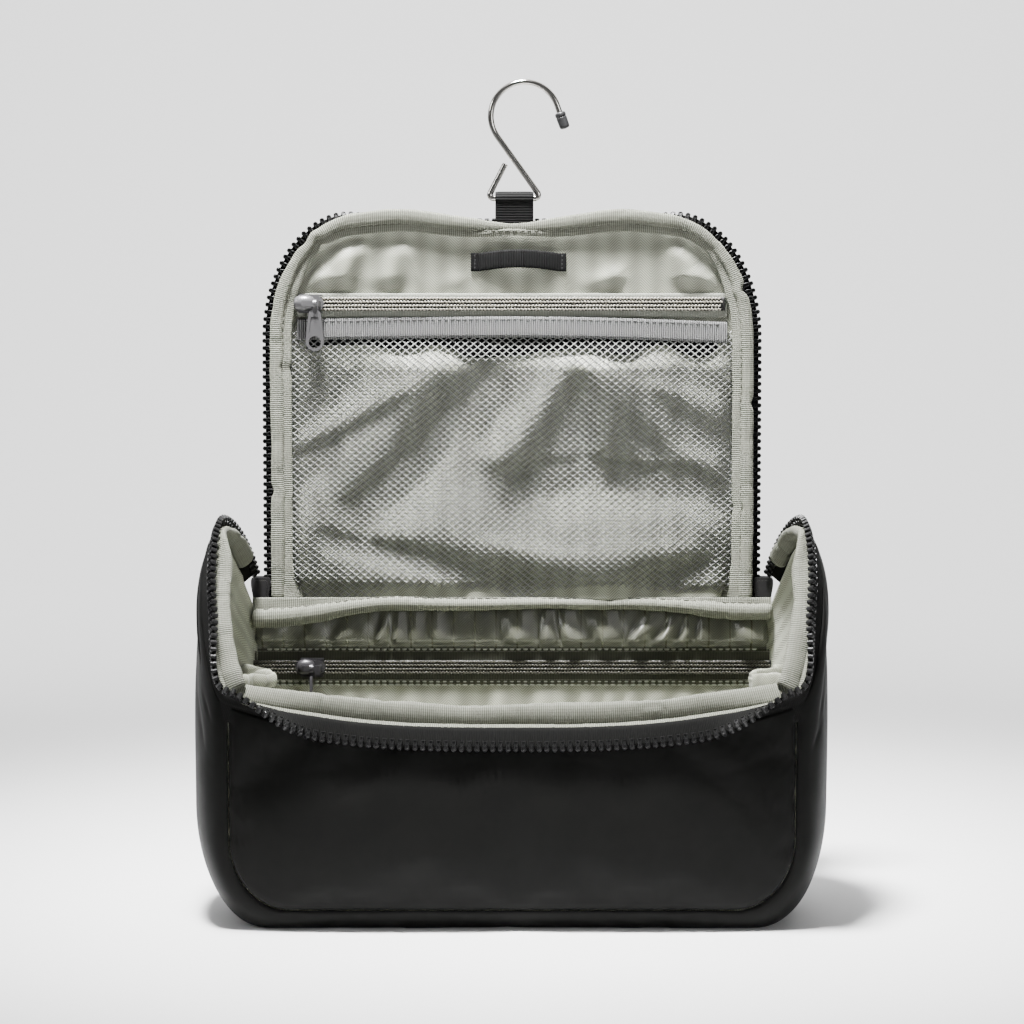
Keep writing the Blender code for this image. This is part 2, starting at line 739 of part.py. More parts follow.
def hook_path():
    """Points (x, z) of the wire: hook, straight shank, and the triangle that holds the loop."""
    bend = 0.0015
    top = arc((0.0055, 0.3330), 0.0146, 20, 214, 22)
    tip = (top[0][0] + 0.0013, top[0][1] - 0.0036)
    right, left = 0.0113, -0.0095
    bar = HOOK_BAR_Z
    corner_right = arc((right - bend, bar + bend), bend, 38, -90, 5)
    corner_left = arc((left + bend, bar + bend), bend, -90, -206, 5)
    end = (-0.0027, 0.3130)
    return [tip] + top + corner_right + corner_left + [end]


def build_hook():
    points = hook_path()
    curve = bpy.data.curves.new("hook_wire", "CURVE")
    curve.dimensions = "3D"
    curve.bevel_depth = WIRE_RADIUS
    curve.bevel_resolution = 2
    curve.use_fill_caps = True
    spline = curve.splines.new("POLY")
    spline.points.add(len(points) - 1)
    for slot, (x, z) in zip(spline.points, points):
        slot.co = (x, 0, z - HOOK_BAR_Z, 1)
    curve.materials.append(material("steel_wire"))
    wire = bpy.data.objects.new("hook_wire", curve)
    bpy.context.scene.collection.objects.link(wire)
    wire.parent = bpy.data.objects["bag_frame"]
    wire.location = (0, HOOK_Y, HOOK_BAR_Z)

    (x0, z0), (x1, z1) = points[0], points[1]
    away = Vector((x0 - x1, 0, z0 - z1)).normalized()
    side = Vector((away.z, 0, -away.x))
    start = Vector((x0, HOOK_Y, z0)) + away * GAP
    rings = []
    for along, radius in ((0, 0.0021), (0.0004, 0.0024), (0.0056, 0.0024), (0.0068, 0.0018), (0.0072, 0.0008)):
        rings.append(roll_ring(start + away * along, side, Vector((0, 1, 0)), radius, radius, 10))
    swept("hook_tip", rings, "rubber")


def build_keeper_strap():
    """Tape sewn down at both ends, under which the folded hook is tucked."""
    middle_x, half_long, half_wide = 0.0028, 0.0205, 0.0039
    flat_y, thick = 0.0457, 0.0008
    rings = []
    for k in range(9):
        share = k / 4 - 1
        rise = 0.0 if abs(share) > 0.85 else math.cos(share / 0.85 * math.pi / 2)
        centre = Vector((middle_x + half_long * share, flat_y - 0.0022 * rise, 0.2706 + 0.0014 * rise))
        up, deep = Vector((0, 0, half_wide)), Vector((0, thick / 2, 0))
        rings.append([centre - up - deep, centre + up - deep, centre + up + deep, centre - up + deep])
    swept("keeper_strap", rings, "black_tape")


# ---- Main zip sliders ---------------------------------------------------------------------------
def build_main_sliders():
    """Sliders at the bottom of the lid's teeth: two plates and a wedge between them, pulls behind."""
    z = MAIN_SLIDER_Z
    for side, name in ((-1, "left"), (1, "right")):
        x = side * SLIDER_X
        front = LID_TAPE_Y - ZIP_TEETH_HALF - 0.0005
        back = LID_TAPE_Y + ZIP_TEETH_HALF + 0.0005
        shape = [(0.0031, -0.0052), (0.0042, 0.0010), (0.0042, 0.0052)]
        shape += [(-a, b) for a, b in shape[::-1]]
        outline = [(x + a, z + b) for a, b in shape]
        body = plate(f"main_slider_{name}", outline, (front - 0.0009, front), "dark_metal")
        rear = plate(f"slider_rear_{name}", outline, (back, back + 0.0010), "dark_metal")
        x_wedge = x + side * 0.0002
        wedge = plate(
            f"slider_wedge_{name}",
            [(x_wedge, z - 0.0020), (x_wedge + 0.0011, z + 0.0046), (x_wedge - 0.0009, z + 0.0046)],
            (front - 0.0004, back + 0.0004),
            "dark_metal",
        )
        bridge = block(
            f"slider_bridge_{name}",
            (x - 0.0009, back + 0.0032, z - 0.0040),
            (x + 0.0009, back + 0.0042, z + 0.0042),
            "dark_metal",
        )
        posts = [
            block(
                f"slider_post_{name}_{k}",
                (x - 0.0009, back + 0.0004, z + low),
                (x + 0.0009, back + 0.0038, z + low + 0.0012),
                "dark_metal",
            )
            for k, low in enumerate((-0.0040, 0.0030))
        ]
        join_to(body, rear, wedge, bridge, *posts)
        build_flat_pull(f"main_pull_{name}", (x, back + 0.0021, z + 0.0008), "dark_metal")


def build_bag():
    clear_scene()
    frame = bpy.data.objects.new("bag_frame", None)
    bpy.context.scene.collection.objects.link(frame)
    frame.location = (0, FRAME_SHIFT_Y, 0)
    build_gusset()
    build_front_wall()
    build_back_wall()
    build_opening()
    build_hinge_binding()
    build_side_pockets()
    rear_finishes = ("black_tape", "dark_coil", "dark_metal")
    rear_layers = ((0.0448, 0.0454), (0.0428, 0.0445))
    build_pocket_zip("rear_pocket", REAR_ZIP_Z, REAR_ZIP_HALF, *rear_layers, rear_finishes, "yz")
    build_lid_layers()
    build_lid_edges()
    lid_finishes = ("grey_tape", "grey_coil", "grey_metal")
    lid_layers = ((0.0455, 0.0461), (0.0435, 0.0452))
    build_pocket_zip("lid_pocket", LID_ZIP_Z, LID_ZIP_HALF, *lid_layers, lid_finishes, "xz")
    build_webbing_loop()
    build_hook()
    build_keeper_strap()
    build_main_sliders()


build_bag()
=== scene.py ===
"""The looks of the hanging toiletry bag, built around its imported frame.

Lengths are in metres. Shapes are worked out in the bag's own coordinates, where y is 0 at the middle
of the gusset, and mesh_object() moves each one by the small offset that the frame has from there.
"""

import json
import math

import bmesh
import bpy
import numpy as np
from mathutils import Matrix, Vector


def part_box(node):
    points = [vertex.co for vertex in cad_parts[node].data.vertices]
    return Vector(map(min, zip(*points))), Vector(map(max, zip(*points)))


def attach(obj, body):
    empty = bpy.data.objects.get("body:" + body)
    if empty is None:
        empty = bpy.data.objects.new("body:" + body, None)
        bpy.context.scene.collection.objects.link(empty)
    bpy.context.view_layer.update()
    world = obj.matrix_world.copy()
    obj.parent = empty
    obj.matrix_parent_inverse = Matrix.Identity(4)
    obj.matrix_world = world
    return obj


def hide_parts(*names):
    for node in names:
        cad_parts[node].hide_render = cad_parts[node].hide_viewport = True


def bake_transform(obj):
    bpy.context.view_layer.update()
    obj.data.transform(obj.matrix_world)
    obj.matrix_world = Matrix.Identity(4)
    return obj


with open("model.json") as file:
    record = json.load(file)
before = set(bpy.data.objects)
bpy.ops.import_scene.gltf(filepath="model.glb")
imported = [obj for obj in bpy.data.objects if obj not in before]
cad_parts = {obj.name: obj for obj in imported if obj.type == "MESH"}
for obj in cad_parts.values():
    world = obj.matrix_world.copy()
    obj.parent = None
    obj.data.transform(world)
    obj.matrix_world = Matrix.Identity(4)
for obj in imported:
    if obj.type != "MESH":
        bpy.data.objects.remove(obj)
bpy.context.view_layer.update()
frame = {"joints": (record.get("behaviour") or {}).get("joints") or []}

# ---- Places taken from the frame ----------------------------------------------------------------
gusset_low, gusset_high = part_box("gusset_panel")
OFFSET = Vector((0, (gusset_low.y + gusset_high.y) / 2, 0))
HALF_DEPTH = (gusset_high.y - gusset_low.y) / 2


def box_of(node):
    """The low and the high corner of a node of the frame, in the bag's coordinates."""
    return (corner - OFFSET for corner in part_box(node))


def axle_of(body):
    """Where the joint of a body is, in the bag's coordinates."""
    joint = next(j for j in frame["joints"] if j["child"] == body)
    return Vector(joint["pos_m"]) - OFFSET


def reach(node, axis, side):
    """Where a node of the frame ends along an axis (0 x, 1 y, 2 z), in the bag's coordinates."""
    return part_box(node)[side][axis] - OFFSET[axis]


LID_HALF = reach("lid_zip_teeth_right", 0, 1)
LID_FOLD_Z = reach("lid_shell_lower", 2, 0) - 0.0003
SHELL_FACE = reach("lid_shell_upper", 1, 1)
LINING_FACE = reach("lid_lining_upper", 1, 0)
BINDING_FACE = reach("lid_binding_left", 1, 0)
BINDING_BACK = reach("lid_binding_left", 1, 1)
TEETH_Y = (reach("lid_zip_teeth_left", 1, 0) + reach("lid_zip_teeth_left", 1, 1)) / 2
MESH_TOP = reach("lid_mesh_upper", 2, 1)
BAND_LOW, BAND_TOP = reach("lid_pocket_band", 2, 0), reach("lid_pocket_band", 2, 1)
LID_ZIP_Z = (reach("lid_pocket_coil", 2, 0) + reach("lid_pocket_coil", 2, 1)) / 2
LID_ZIP_HALF = reach("lid_pocket_coil", 0, 1)
LID_COIL_FACE = reach("lid_pocket_coil", 1, 0)
REAR_ZIP_Z = (reach("rear_pocket_coil", 2, 0) + reach("rear_pocket_coil", 2, 1)) / 2
REAR_ZIP_HALF = reach("rear_pocket_coil", 0, 1) + 0.0168
REAR_COIL_FACE = reach("rear_pocket_coil", 1, 0)
REAR_TAPE_TOP, REAR_TAPE_LOW = 0.0066, 0.0056  # how much of the rear zip's tape shows
BACK_LINING_FACE = reach("back_lining", 1, 0)
BACK_TOP = reach("back_panel", 2, 1)
HINGE_HALF = reach("hinge_binding", 0, 1)

# ---- The bag's own shape ------------------------------------------------------------------------
SEAM_HALF_FRONT = 0.1145
SEAM_HALF_BACK = 0.1120
BULGE = 0.0175
CORNER_WIDTH = 0.025
CORNER_HEIGHT = 0.030
CORNER_EXTRA = 0.018
FLAT_HALF_DEPTH = 0.038
FLOOR_ROUND = 0.008
EAR_TOP = 0.155
EAR_TOP_Y = 0.004
EAR_FRONT = 0.0915
EAR_BACK = 0.117
EAR_LEAN = 0.0038
LEAN_START = 0.120
EDGE_PULL = 0.0013  # how far the zip draws the ears' edges in
EDGE_PULL_BACK = 0.0045
FRONT_DIP = 0.0778
WALL = 0.0029  # coated fabric and its foam
LINING_THICK = 0.0008
LID_TOP = 0.2930
LID_CORNER = (0.040, 0.055)
LID_INSET = 0.008
TOOTH_PITCH = 0.0031
WIRE_RADIUS = 0.0013
PULL_LENGTH = 0.0164  # from a pull's axle to the middle of its round end
STRAP_Z = 0.2706
SETTLING_FRAMES = 20
COIL_PITCH = 0.00146
NET_WIDE, NET_TALL = 0.0036, 0.00285  # one diamond of the net
FORWARDS, BACKWARDS, UPWARDS = (0.0, -1.0, 0.0), (0.0, 1.0, 0.0), (0.0, 0.0, 1.0)


# ---- Numbers ------------------------------------------------------------------------------------
def ease(value):
    value = np.clip(value, 0, 1)
    return value * value * (3 - 2 * value)


def bumps(x, y, cell_x, cell_y, seed):
    """Smooth noise from -1 to 1 at each (x, y), with bumps about cell_x by cell_y across."""
    table = np.random.default_rng(seed).uniform(-1, 1, (64, 64))
    gx, gy = np.asarray(x) / cell_x, np.asarray(y) / cell_y
    ix, iy = np.floor(gx).astype(int), np.floor(gy).astype(int)
    fx, fy = ease(gx - ix), ease(gy - iy)
    near = table[ix % 64, iy % 64] * (1 - fx) + table[(ix + 1) % 64, iy % 64] * fx
    far = table[ix % 64, (iy + 1) % 64] * (1 - fx) + table[(ix + 1) % 64, (iy + 1) % 64] * fx
    return near * (1 - fy) + far * fy


def creases(x, y, turn, long, short, seed, sharp=2.0):
    """Ridges from 0 to 1 that run long along the direction turn (degrees) and are short across it."""
    c, s = math.cos(math.radians(turn)), math.sin(math.radians(turn))
    along, across = x * c + y * s, y * c - x * s
    bend = 0.35 * short * bumps(along, across, long * 0.6, short * 3, seed + 1)
    ridge = 1 - np.abs(bumps(along, across + bend, long, short, seed))
    return ridge ** (2 * sharp)


def ridge(x, z, crest, height, above, below):
    """A fold along the crest's points, falling off over one width above the line and one below it."""
    best = np.full(np.shape(x), np.inf)
    side = np.zeros(np.shape(x))
    for (ax, az), (bx, bz) in zip(crest, crest[1:]):
        length = math.hypot(bx - ax, bz - az)
        dx, dz = (bx - ax) / length, (bz - az) / length
        t = np.clip((x - ax) * dx + (z - az) * dz, 0, length)
        away = np.hypot(x - ax - t * dx, z - az - t * dz)
        signed = ((z - az) * dx - (x - ax) * dz) * (1 if dx >= 0 else -1)
        side = np.where(away < best, signed, side)
        best = np.minimum(best, away)
    width = below + (above - below) * ease(side / 0.002 + 0.5)
    return height * bell(best, width)


def stacked(*parts):
    """Numbers or grids laid side by side as the coordinates of points."""
    return np.stack(np.broadcast_arrays(*parts), -1)


def grid_over(first, second):
    """Two grids that run over two ranges, each given as its start, end and count."""
    return np.meshgrid(np.linspace(*first), np.linspace(*second), indexing="ij")


def unit(vectors):
    return vectors / np.maximum(np.linalg.norm(vectors, axis=-1, keepdims=True), 1e-12)


def bell(away, width):
    """1 where away is 0, falling off smoothly over width on both sides."""
    return np.exp(-((away / width) ** 2))


def tangents(line):
    """The way along a line at each of its points."""
    return unit(np.gradient(line, axis=0))


def squared(way, along):
    """The part of way that stands square to along, at length 1."""
    return unit(way - along * (way * along).sum(1, keepdims=True))


def smoothed(values, width):
    """Each column averaged over width neighbours along the first axis, its ends kept."""
    pad = width // 2
    padded = np.concatenate([np.repeat(values[:1], pad, 0), values, np.repeat(values[-1:], pad, 0)])
    kernel = np.hanning(width + 2)[1:-1]
    kernel /= kernel.sum()
    return np.stack([np.convolve(padded[:, k], kernel, "valid") for k in range(values.shape[1])], 1)


def lengths_along(points):
    steps = np.linalg.norm(np.diff(points, axis=0), axis=1)
    return np.concatenate([[0], np.cumsum(steps)])


def resampled(points, others, spacing):
    """The line's points every spacing, with the other arrays read at the same places."""
    lengths = lengths_along(points)
    count = max(2, int(round(lengths[-1] / spacing)) + 1)
    wanted = np.linspace(0, lengths[-1], count)
    read = [
        np.stack([np.interp(wanted, lengths, a[:, k]) for k in range(a.shape[1])], 1)
        for a in (points, *others)
    ]
    return read, wanted


# ---- Meshes -------------------------------------------------------------------------------------
def mesh_object(name, verts, faces, finish, loop_uv=None, sharp=None, flip_check=True):
    mesh = bpy.data.meshes.new(name)
    verts = np.asarray(verts, float) + np.array(OFFSET)
    mesh.from_pydata(verts.tolist(), [], [list(map(int, f)) for f in faces])
    if loop_uv is not None:
        layer = mesh.uv_layers.new(name="UVMap")
        layer.data.foreach_set("uv", np.asarray(loop_uv, np.float32).ravel())
    if flip_check:
        bm = bmesh.new()
        bm.from_mesh(mesh)
        bmesh.ops.recalc_face_normals(bm, faces=bm.faces)
        bm.to_mesh(mesh)
        bm.free()
    mesh.shade_smooth()
    if sharp:
        mesh.set_sharp_from_angle(angle=math.radians(sharp))
    obj = bpy.data.objects.new(name, mesh)
    bpy.context.scene.collection.objects.link(obj)
    obj.data.materials.append(finish)
    return obj


def grid_faces(rows, columns, start=0):
    index = np.arange(rows * columns).reshape(rows, columns) + start
    quads = stacked(index[:-1, :-1], index[1:, :-1], index[1:, 1:], index[:-1, 1:])
    return quads.reshape(-1, 4)


def sheet(name, front, back, finish, uv):
    """A closed sheet between two grids of points, with uv in metres at each point of the grid."""
    rows, columns = front.shape[:2]
    total = rows * columns
    index = np.arange(total).reshape(rows, columns)
    rim = np.concatenate([index[0, :-1], index[:-1, -1], index[-1, :0:-1], index[:0:-1, 0]])
    following = np.roll(rim, -1)
    sides = stacked(rim, following, following + total, rim + total)
    faces = np.concatenate([grid_faces(rows, columns), grid_faces(rows, columns, total)[:, ::-1], sides])
    flat_uv = np.concatenate([uv.reshape(-1, 2)] * 2)
    verts = np.concatenate([front.reshape(-1, 3), back.reshape(-1, 3)])
    return mesh_object(name, verts, faces, finish, flat_uv[faces.ravel()])


def tube(name, rings, finish, sharp=None):
    """A closed bar through rings of points (stations, sides, 3)."""
    count, sides = rings.shape[:2]
    lengths = lengths_along(rings.mean(axis=1))
    around = lengths_along(np.concatenate([rings[count // 2], rings[count // 2][:1]]))
    i, k = np.meshgrid(np.arange(count - 1), np.arange(sides), indexing="ij")
    i, k = i.ravel(), k.ravel()
    i2, k2 = i + 1, (k + 1) % sides
    faces = stacked(i * sides + k, i2 * sides + k, i2 * sides + k2, i * sides + k2)
    along = stacked(lengths[i], lengths[i2], lengths[i2], lengths[i])
    side = stacked(around[k], around[k], around[k + 1], around[k + 1])
    loop_uv = stacked(along, side).reshape(-1, 2)
    ends = [list(range(sides)), list(range((count - 1) * sides, count * sides))]
    faces = faces.tolist() + ends
    loop_uv = np.concatenate([loop_uv, np.zeros((2 * sides, 2))])
    return mesh_object(name, rings.reshape(-1, 3), faces, finish, loop_uv, sharp)


def copies(name, verts, faces, places, finish, sharp=None):
    """One mesh made of a small shape at each place (origin, x axis, y axis, z axis)."""
    verts = np.asarray(verts, float)
    origins, ax, ay, az = (np.asarray(p, float) for p in places)
    spread = (
        origins[:, None]
        + verts[None, :, 0:1] * ax[:, None]
        + verts[None, :, 1:2] * ay[:, None]
        + verts[None, :, 2:3] * az[:, None]
    )
    all_faces = [
        [corner + n * len(verts) for corner in face] for n in range(len(origins)) for face in faces
    ]
    return mesh_object(name, spread.reshape(-1, 3), all_faces, finish, None, sharp)


def bevelled(bm, width, segments=2):
    bmesh.ops.recalc_face_normals(bm, faces=bm.faces)
    bmesh.ops.bevel(
        bm, geom=bm.edges[:], offset=width, segments=segments, affect="EDGES", clamp_overlap=True
    )


def taken(bm):
    """(vertices, faces) of a bmesh, which is then freed."""
    bm.verts.ensure_lookup_table()
    verts = [tuple(v.co) for v in bm.verts]
    faces = [[v.index for v in f.verts] for f in bm.faces]
    bm.free()
    return verts, faces


def extruded(outline, low, high, bevel=0.0, segments=2, plane="xz"):
    """(vertices, faces) of an outline filled and given thickness from low to high."""
    bm = bmesh.new()
    across = {"xz": 1, "yz": 0, "xy": 2}[plane]
    corners = [bm.verts.new((*point[:across], low, *point[across:])) for point in map(tuple, outline)]
    face = bm.faces.new(corners)
    grown = bmesh.ops.extrude_face_region(bm, geom=[face])["geom"]
    deep = np.insert([0.0, 0.0], across, high - low)
    bmesh.ops.translate(bm, verts=[g for g in grown if isinstance(g, bmesh.types.BMVert)], vec=deep)
    if bevel:
        bevelled(bm, bevel, segments)
    else:
        bmesh.ops.recalc_face_normals(bm, faces=bm.faces)
    return taken(bm)


def box_shape(low, high, bevel, segments=2):
    outline = [(low[0], low[2]), (high[0], low[2]), (high[0], high[2]), (low[0], high[2])]
    return extruded(outline, low[1], high[1], bevel, segments)


def arc(centre, radius, start, end, steps):
    turns = [math.radians(start + (end - start) * k / steps) for k in range(steps + 1)]
    return [(centre[0] + radius * math.cos(t), centre[1] + radius * math.sin(t)) for t in turns]


def parts_object(name, shapes, finish, at=(0, 0, 0), cuts=(), sharp=35):
    """One mesh from several overlapping (vertices, faces) shapes joined, with other shapes cut out."""
    made = []
    for verts, faces in (*shapes, *cuts):
        moved = np.asarray(verts) + np.asarray(at)
        made.append(mesh_object(f"{name}_{len(made)}", moved, faces, finish))
    obj, others = made[0], made[1:]
    for n, other in enumerate(others):
        join = obj.modifiers.new(f"b{n}", "BOOLEAN")
        join.operation = "UNION" if n < len(shapes) - 1 else "DIFFERENCE"
        join.object = other
        join.solver = "EXACT"
    applied(obj)
    for other in others:
        bpy.data.objects.remove(other)
    obj.name = name
    obj.data.name = name
    obj.data.shade_smooth()
    obj.data.set_sharp_from_angle(angle=math.radians(sharp))
    return obj


def applied(obj):
    """Bakes an object's modifiers into its mesh."""
    bpy.context.view_layer.update()
    graph = bpy.context.evaluated_depsgraph_get()
    mesh = bpy.data.meshes.new_from_object(obj.evaluated_get(graph))
    obj.modifiers.clear()
    obj.data = mesh
    return obj


def finish_piece(obj, body, slot, *nodes):
    """The piece rides on a body and stands for CAD nodes; slot is not used."""
    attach(obj, body)
    if nodes:
        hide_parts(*nodes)
    return obj


def lid_piece(obj, slot, *nodes):
    """A piece of the lid's full height, its transform baked into its mesh."""
    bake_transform(obj)
    if nodes:
        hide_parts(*nodes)
    return obj


# ---- Materials ----------------------------------------------------------------------------------
class Shader:
    """A Principled material under construction."""

    def __init__(self, name, colour, roughness, metallic=0.0, **more):
        self.material = bpy.data.materials.new(name)
        self.material.use_nodes = True
        self.tree = self.material.node_tree
        self.main = self.tree.nodes["Principled BSDF"]
        self.main.inputs["Base Color"].default_value = (*colour, 1)
        self.main.inputs["Roughness"].default_value = roughness
        self.main.inputs["Metallic"].default_value = metallic
        for key, value in more.items():
            self.main.inputs[key.replace("_", " ")].default_value = value

    def node(self, kind, **settings):
        made = self.tree.nodes.new("ShaderNode" + kind)
        for key, value in settings.items():
            setattr(made, key, value)
        return made

    def link(self, source, target):
        self.tree.links.new(source, target)

    def math(self, operation, a, b=None, c=None):
        made = self.node("Math", operation=operation)
        for slot, value in zip(made.inputs, (a, b, c)):
            if value is None:
                continue
            if isinstance(value, (int, float)):
                slot.default_value = value
            else:
                self.link(value, slot)
        return made.outputs[0]

    def uv(self):
        split = self.node("SeparateXYZ")
        self.link(self.node("UVMap", uv_map="UVMap").outputs[0], split.inputs[0])
        return split.outputs[0], split.outputs[1]

    def noise(self, scale, detail=3.0, roughness=0.55):
        made = self.node("TexNoise")
        made.inputs["Scale"].default_value = scale
        made.inputs["Detail"].default_value = detail
        made.inputs["Roughness"].default_value = roughness
        self.link(self.node("TexCoord").outputs["Object"], made.inputs["Vector"])
        return made.outputs["Fac"]

    def wave(self, along, pitch):
        """0 to 1 and back once in each pitch."""
        turn = self.math("MULTIPLY", along, 2 * math.pi / pitch)
        return self.math("MULTIPLY_ADD", self.math("SINE", turn), 0.5, 0.5)

    def colours(self, factor, first, second):
        mix = self.node("Mix", data_type="RGBA")
        mix.inputs["A"].default_value = (*first, 1)
        mix.inputs["B"].default_value = (*second, 1)
        self.link(factor, mix.inputs["Factor"])
        colour = next(o for o in mix.outputs if o.type == "RGBA")
        self.link(colour, self.main.inputs["Base Color"])

    def rough(self, factor, low, high):
        self.link(self.math("MULTIPLY_ADD", factor, high - low, low), self.main.inputs["Roughness"])

    def bump(self, height, distance, strength=1.0):
        made = self.node("Bump")
        made.inputs["Distance"].default_value = distance
        made.inputs["Strength"].default_value = strength
        self.link(height, made.inputs["Height"])
        self.link(made.outputs[0], self.main.inputs["Normal"])


def scaled(colour, factor):
    return tuple(min(1.0, c * factor) for c in colour)


def coated_fabric():
    s = Shader("coated_fabric", (0.0085, 0.0085, 0.008), 0.5, Specular_IOR_Level=0.06)
    s.main.inputs["Sheen Weight"].default_value = 0.01
    s.main.inputs["Sheen Roughness"].default_value = 0.45
    s.colours(s.noise(60, 2.0), (0.0034, 0.0034, 0.0032), (0.0056, 0.0056, 0.0052))
    s.rough(s.noise(180, 3.0), 0.50, 0.60)
    s.bump(s.noise(2600, 2.0), 0.00005, 0.4)
    return s.material


def lining_fabric(name, stripe, colour, shine=0.0):
    """Satin with herringbone twill in stripes along v, each stripe wide across u."""
    s = Shader(name, colour, 0.45, Anisotropic=0.4, Specular_IOR_Level=0.5 + 0.5 * shine)
    s.main.inputs["Sheen Weight"].default_value = 0.15
    u, v = s.uv()
    zigzag = s.math("PINGPONG", u, stripe)
    weave = s.wave(s.math("ADD", v, zigzag), 0.00115)
    bands = s.wave(u, 2 * stripe)
    tone = s.math("ADD", s.math("MULTIPLY", bands, 0.26), s.math("MULTIPLY", weave, 0.74))
    s.colours(tone, scaled(colour, 0.48), scaled(colour, 1.55))
    s.rough(bands, 0.50 - 0.16 * shine, 0.40 - 0.16 * shine)
    s.bump(weave, 0.00010, 0.8)
    return s.material


def binding_fabric(name, factor):
    """Ribbed tape, its ribs across its length."""
    s = Shader(name, (0.49, 0.50, 0.44), 0.65, Specular_IOR_Level=0.25)
    s.main.inputs["Sheen Weight"].default_value = 0.05
    u, v = s.uv()
    rib = s.wave(u, 0.00085)
    fine = s.wave(v, 0.0011)
    weave = s.math("ADD", s.math("MULTIPLY", rib, 0.86), s.math("MULTIPLY", fine, 0.14))
    tone = s.math("ADD", s.math("MULTIPLY", weave, 0.8), s.math("MULTIPLY", s.noise(420, 2.0), 0.2))
    s.colours(tone, scaled((0.070, 0.073, 0.053), factor), scaled((0.370, 0.380, 0.308), factor))
    s.bump(weave, 0.00020, 1.0)
    return s.material


def ribbed_tape(name, dark, light, pitch, roughness=0.75, specular=0.25):
    """Woven tape with a rib in each pitch along u."""
    s = Shader(name, light, roughness, Specular_IOR_Level=specular)
    u, v = s.uv()
    rib = s.wave(u, pitch)
    fine = s.wave(v, pitch * 0.45)
    tone = s.math("ADD", s.math("MULTIPLY", rib, 0.7), s.math("MULTIPLY", fine, 0.3))
    s.colours(tone, dark, light)
    s.bump(tone, 0.00016, 0.8)
    return s.material


def thread(name, colour):
    s = Shader(name, colour, 0.7)
    grain = s.noise(1500, 2.0)
    s.colours(grain, scaled(colour, 0.8), scaled(colour, 1.15))
    s.bump(grain, 0.00008, 0.6)
    return s.material


def plastic(name, colour, roughness, specular=0.4):
    s = Shader(name, colour, roughness, Specular_IOR_Level=specular)
    s.rough(s.noise(500, 2.0), roughness * 0.85, roughness * 1.2)
    s.colours(s.noise(90, 2.0), scaled(colour, 0.9), scaled(colour, 1.15))
    return s.material


def painted_metal(name, colour, roughness, metallic):
    s = Shader(name, colour, roughness, metallic)
    s.rough(s.noise(240, 3.0), roughness * 0.8, roughness * 1.25)
    s.colours(s.noise(120, 2.0), scaled(colour, 0.92), scaled(colour, 1.08))
    s.bump(s.noise(900, 2.0), 0.00004, 0.25)
    return s.material


LINING_COLOUR = (0.290, 0.300, 0.238)
coated = coated_fabric()
lining = lining_fabric("lining", 0.0046, LINING_COLOUR)
# A much darker copy of the lining: painted shade for the strip under the hinge roll.
lining_painted_shade = lining_fabric("lining_painted_shade", 0.0046, (0.080, 0.083, 0.060), 0.8)
lining_pocket = lining_fabric("lining_pocket", 0.0046, (0.250, 0.257, 0.200), 0.5)
binding = binding_fabric("binding", 0.78)
# A darker copy of the binding for the opening's edge: painted shade.
binding_painted_shade = binding_fabric("binding_painted_shade", 0.60)
mesh_thread = thread("mesh_thread", (0.255, 0.258, 0.250))
stitch_light = thread("stitch_light", (0.40, 0.41, 0.35))
# Near-black stitches: painted shadow in the needle holes along the bindings.
stitch_painted_shadow = thread("stitch_painted_shadow", (0.085, 0.086, 0.066))
stitch_grey = thread("stitch_grey", (0.060, 0.060, 0.058))
stitch_black = thread("stitch_black", (0.02, 0.02, 0.02))
band_tape = ribbed_tape("band_tape", (0.040, 0.040, 0.040), (0.285, 0.285, 0.282), 0.00095)
grey_tape = ribbed_tape("grey_tape", (0.23, 0.24, 0.20), (0.34, 0.35, 0.30), 0.0007)
olive_tape = ribbed_tape("olive_tape", (0.026, 0.027, 0.019), (0.070, 0.072, 0.052), 0.0007)
black_tape = ribbed_tape("black_tape", (0.0035,) * 3, (0.0095, 0.0095, 0.0090), 0.0007, 0.9, 0.05)
webbing = ribbed_tape("webbing", (0.004, 0.004, 0.004), (0.013, 0.013, 0.013), 0.0011, 0.8, 0.1)
teeth_plastic = plastic("teeth_plastic", (0.006, 0.006, 0.006), 0.36, 0.22)
coil_light = plastic("coil_light", (0.33, 0.31, 0.26), 0.26)
# Near-black sheet behind the coil's turns: painted shadow in the gaps between them.
coil_painted_shadow = plastic("coil_painted_shadow", (0.016, 0.0155, 0.014), 0.5)
coil_dark = plastic("coil_dark", (0.050, 0.048, 0.037), 0.28)
slider_grey = painted_metal("slider_grey", (0.135, 0.133, 0.136), 0.30, 0.35)
slider_dark = painted_metal("slider_dark", (0.028, 0.027, 0.028), 0.34, 0.35)
slider_charcoal = painted_metal("slider_charcoal", (0.040, 0.038, 0.041), 0.32, 0.4)
wire = painted_metal("wire", (0.62, 0.60, 0.57), 0.13, 1.0)
cap = plastic("cap", (0.025, 0.025, 0.026), 0.42)


# ---- Shape of the body --------------------------------------------------------------------------
def half_width(y, z):
    y, z = np.asarray(y, float), np.asarray(z, float)
    along = (y + HALF_DEPTH) / (2 * HALF_DEPTH)
    seam = SEAM_HALF_FRONT + (SEAM_HALF_BACK - SEAM_HALF_FRONT) * along
    power = np.where(y < 0, 0.5, 0.75)
    swell = BULGE * np.clip(1 - (y / HALF_DEPTH) ** 2, 0, None) ** power
    lean = EAR_LEAN * np.clip((z - LEAN_START) / (EAR_TOP - LEAN_START), 0, None) ** 2
    rear = ease((y + 0.005) / 0.040)
    inwards = EDGE_PULL + (EDGE_PULL_BACK - EDGE_PULL) * rear
    near_edge = np.clip(1 - (ear_edge(y) - z) / (0.010 + 0.007 * rear), 0, 1.2) ** 2
    corner = 1 - np.clip(np.abs(y) / HALF_DEPTH, 0, 1) ** 6
    return seam + swell - lean - inwards * near_edge * corner


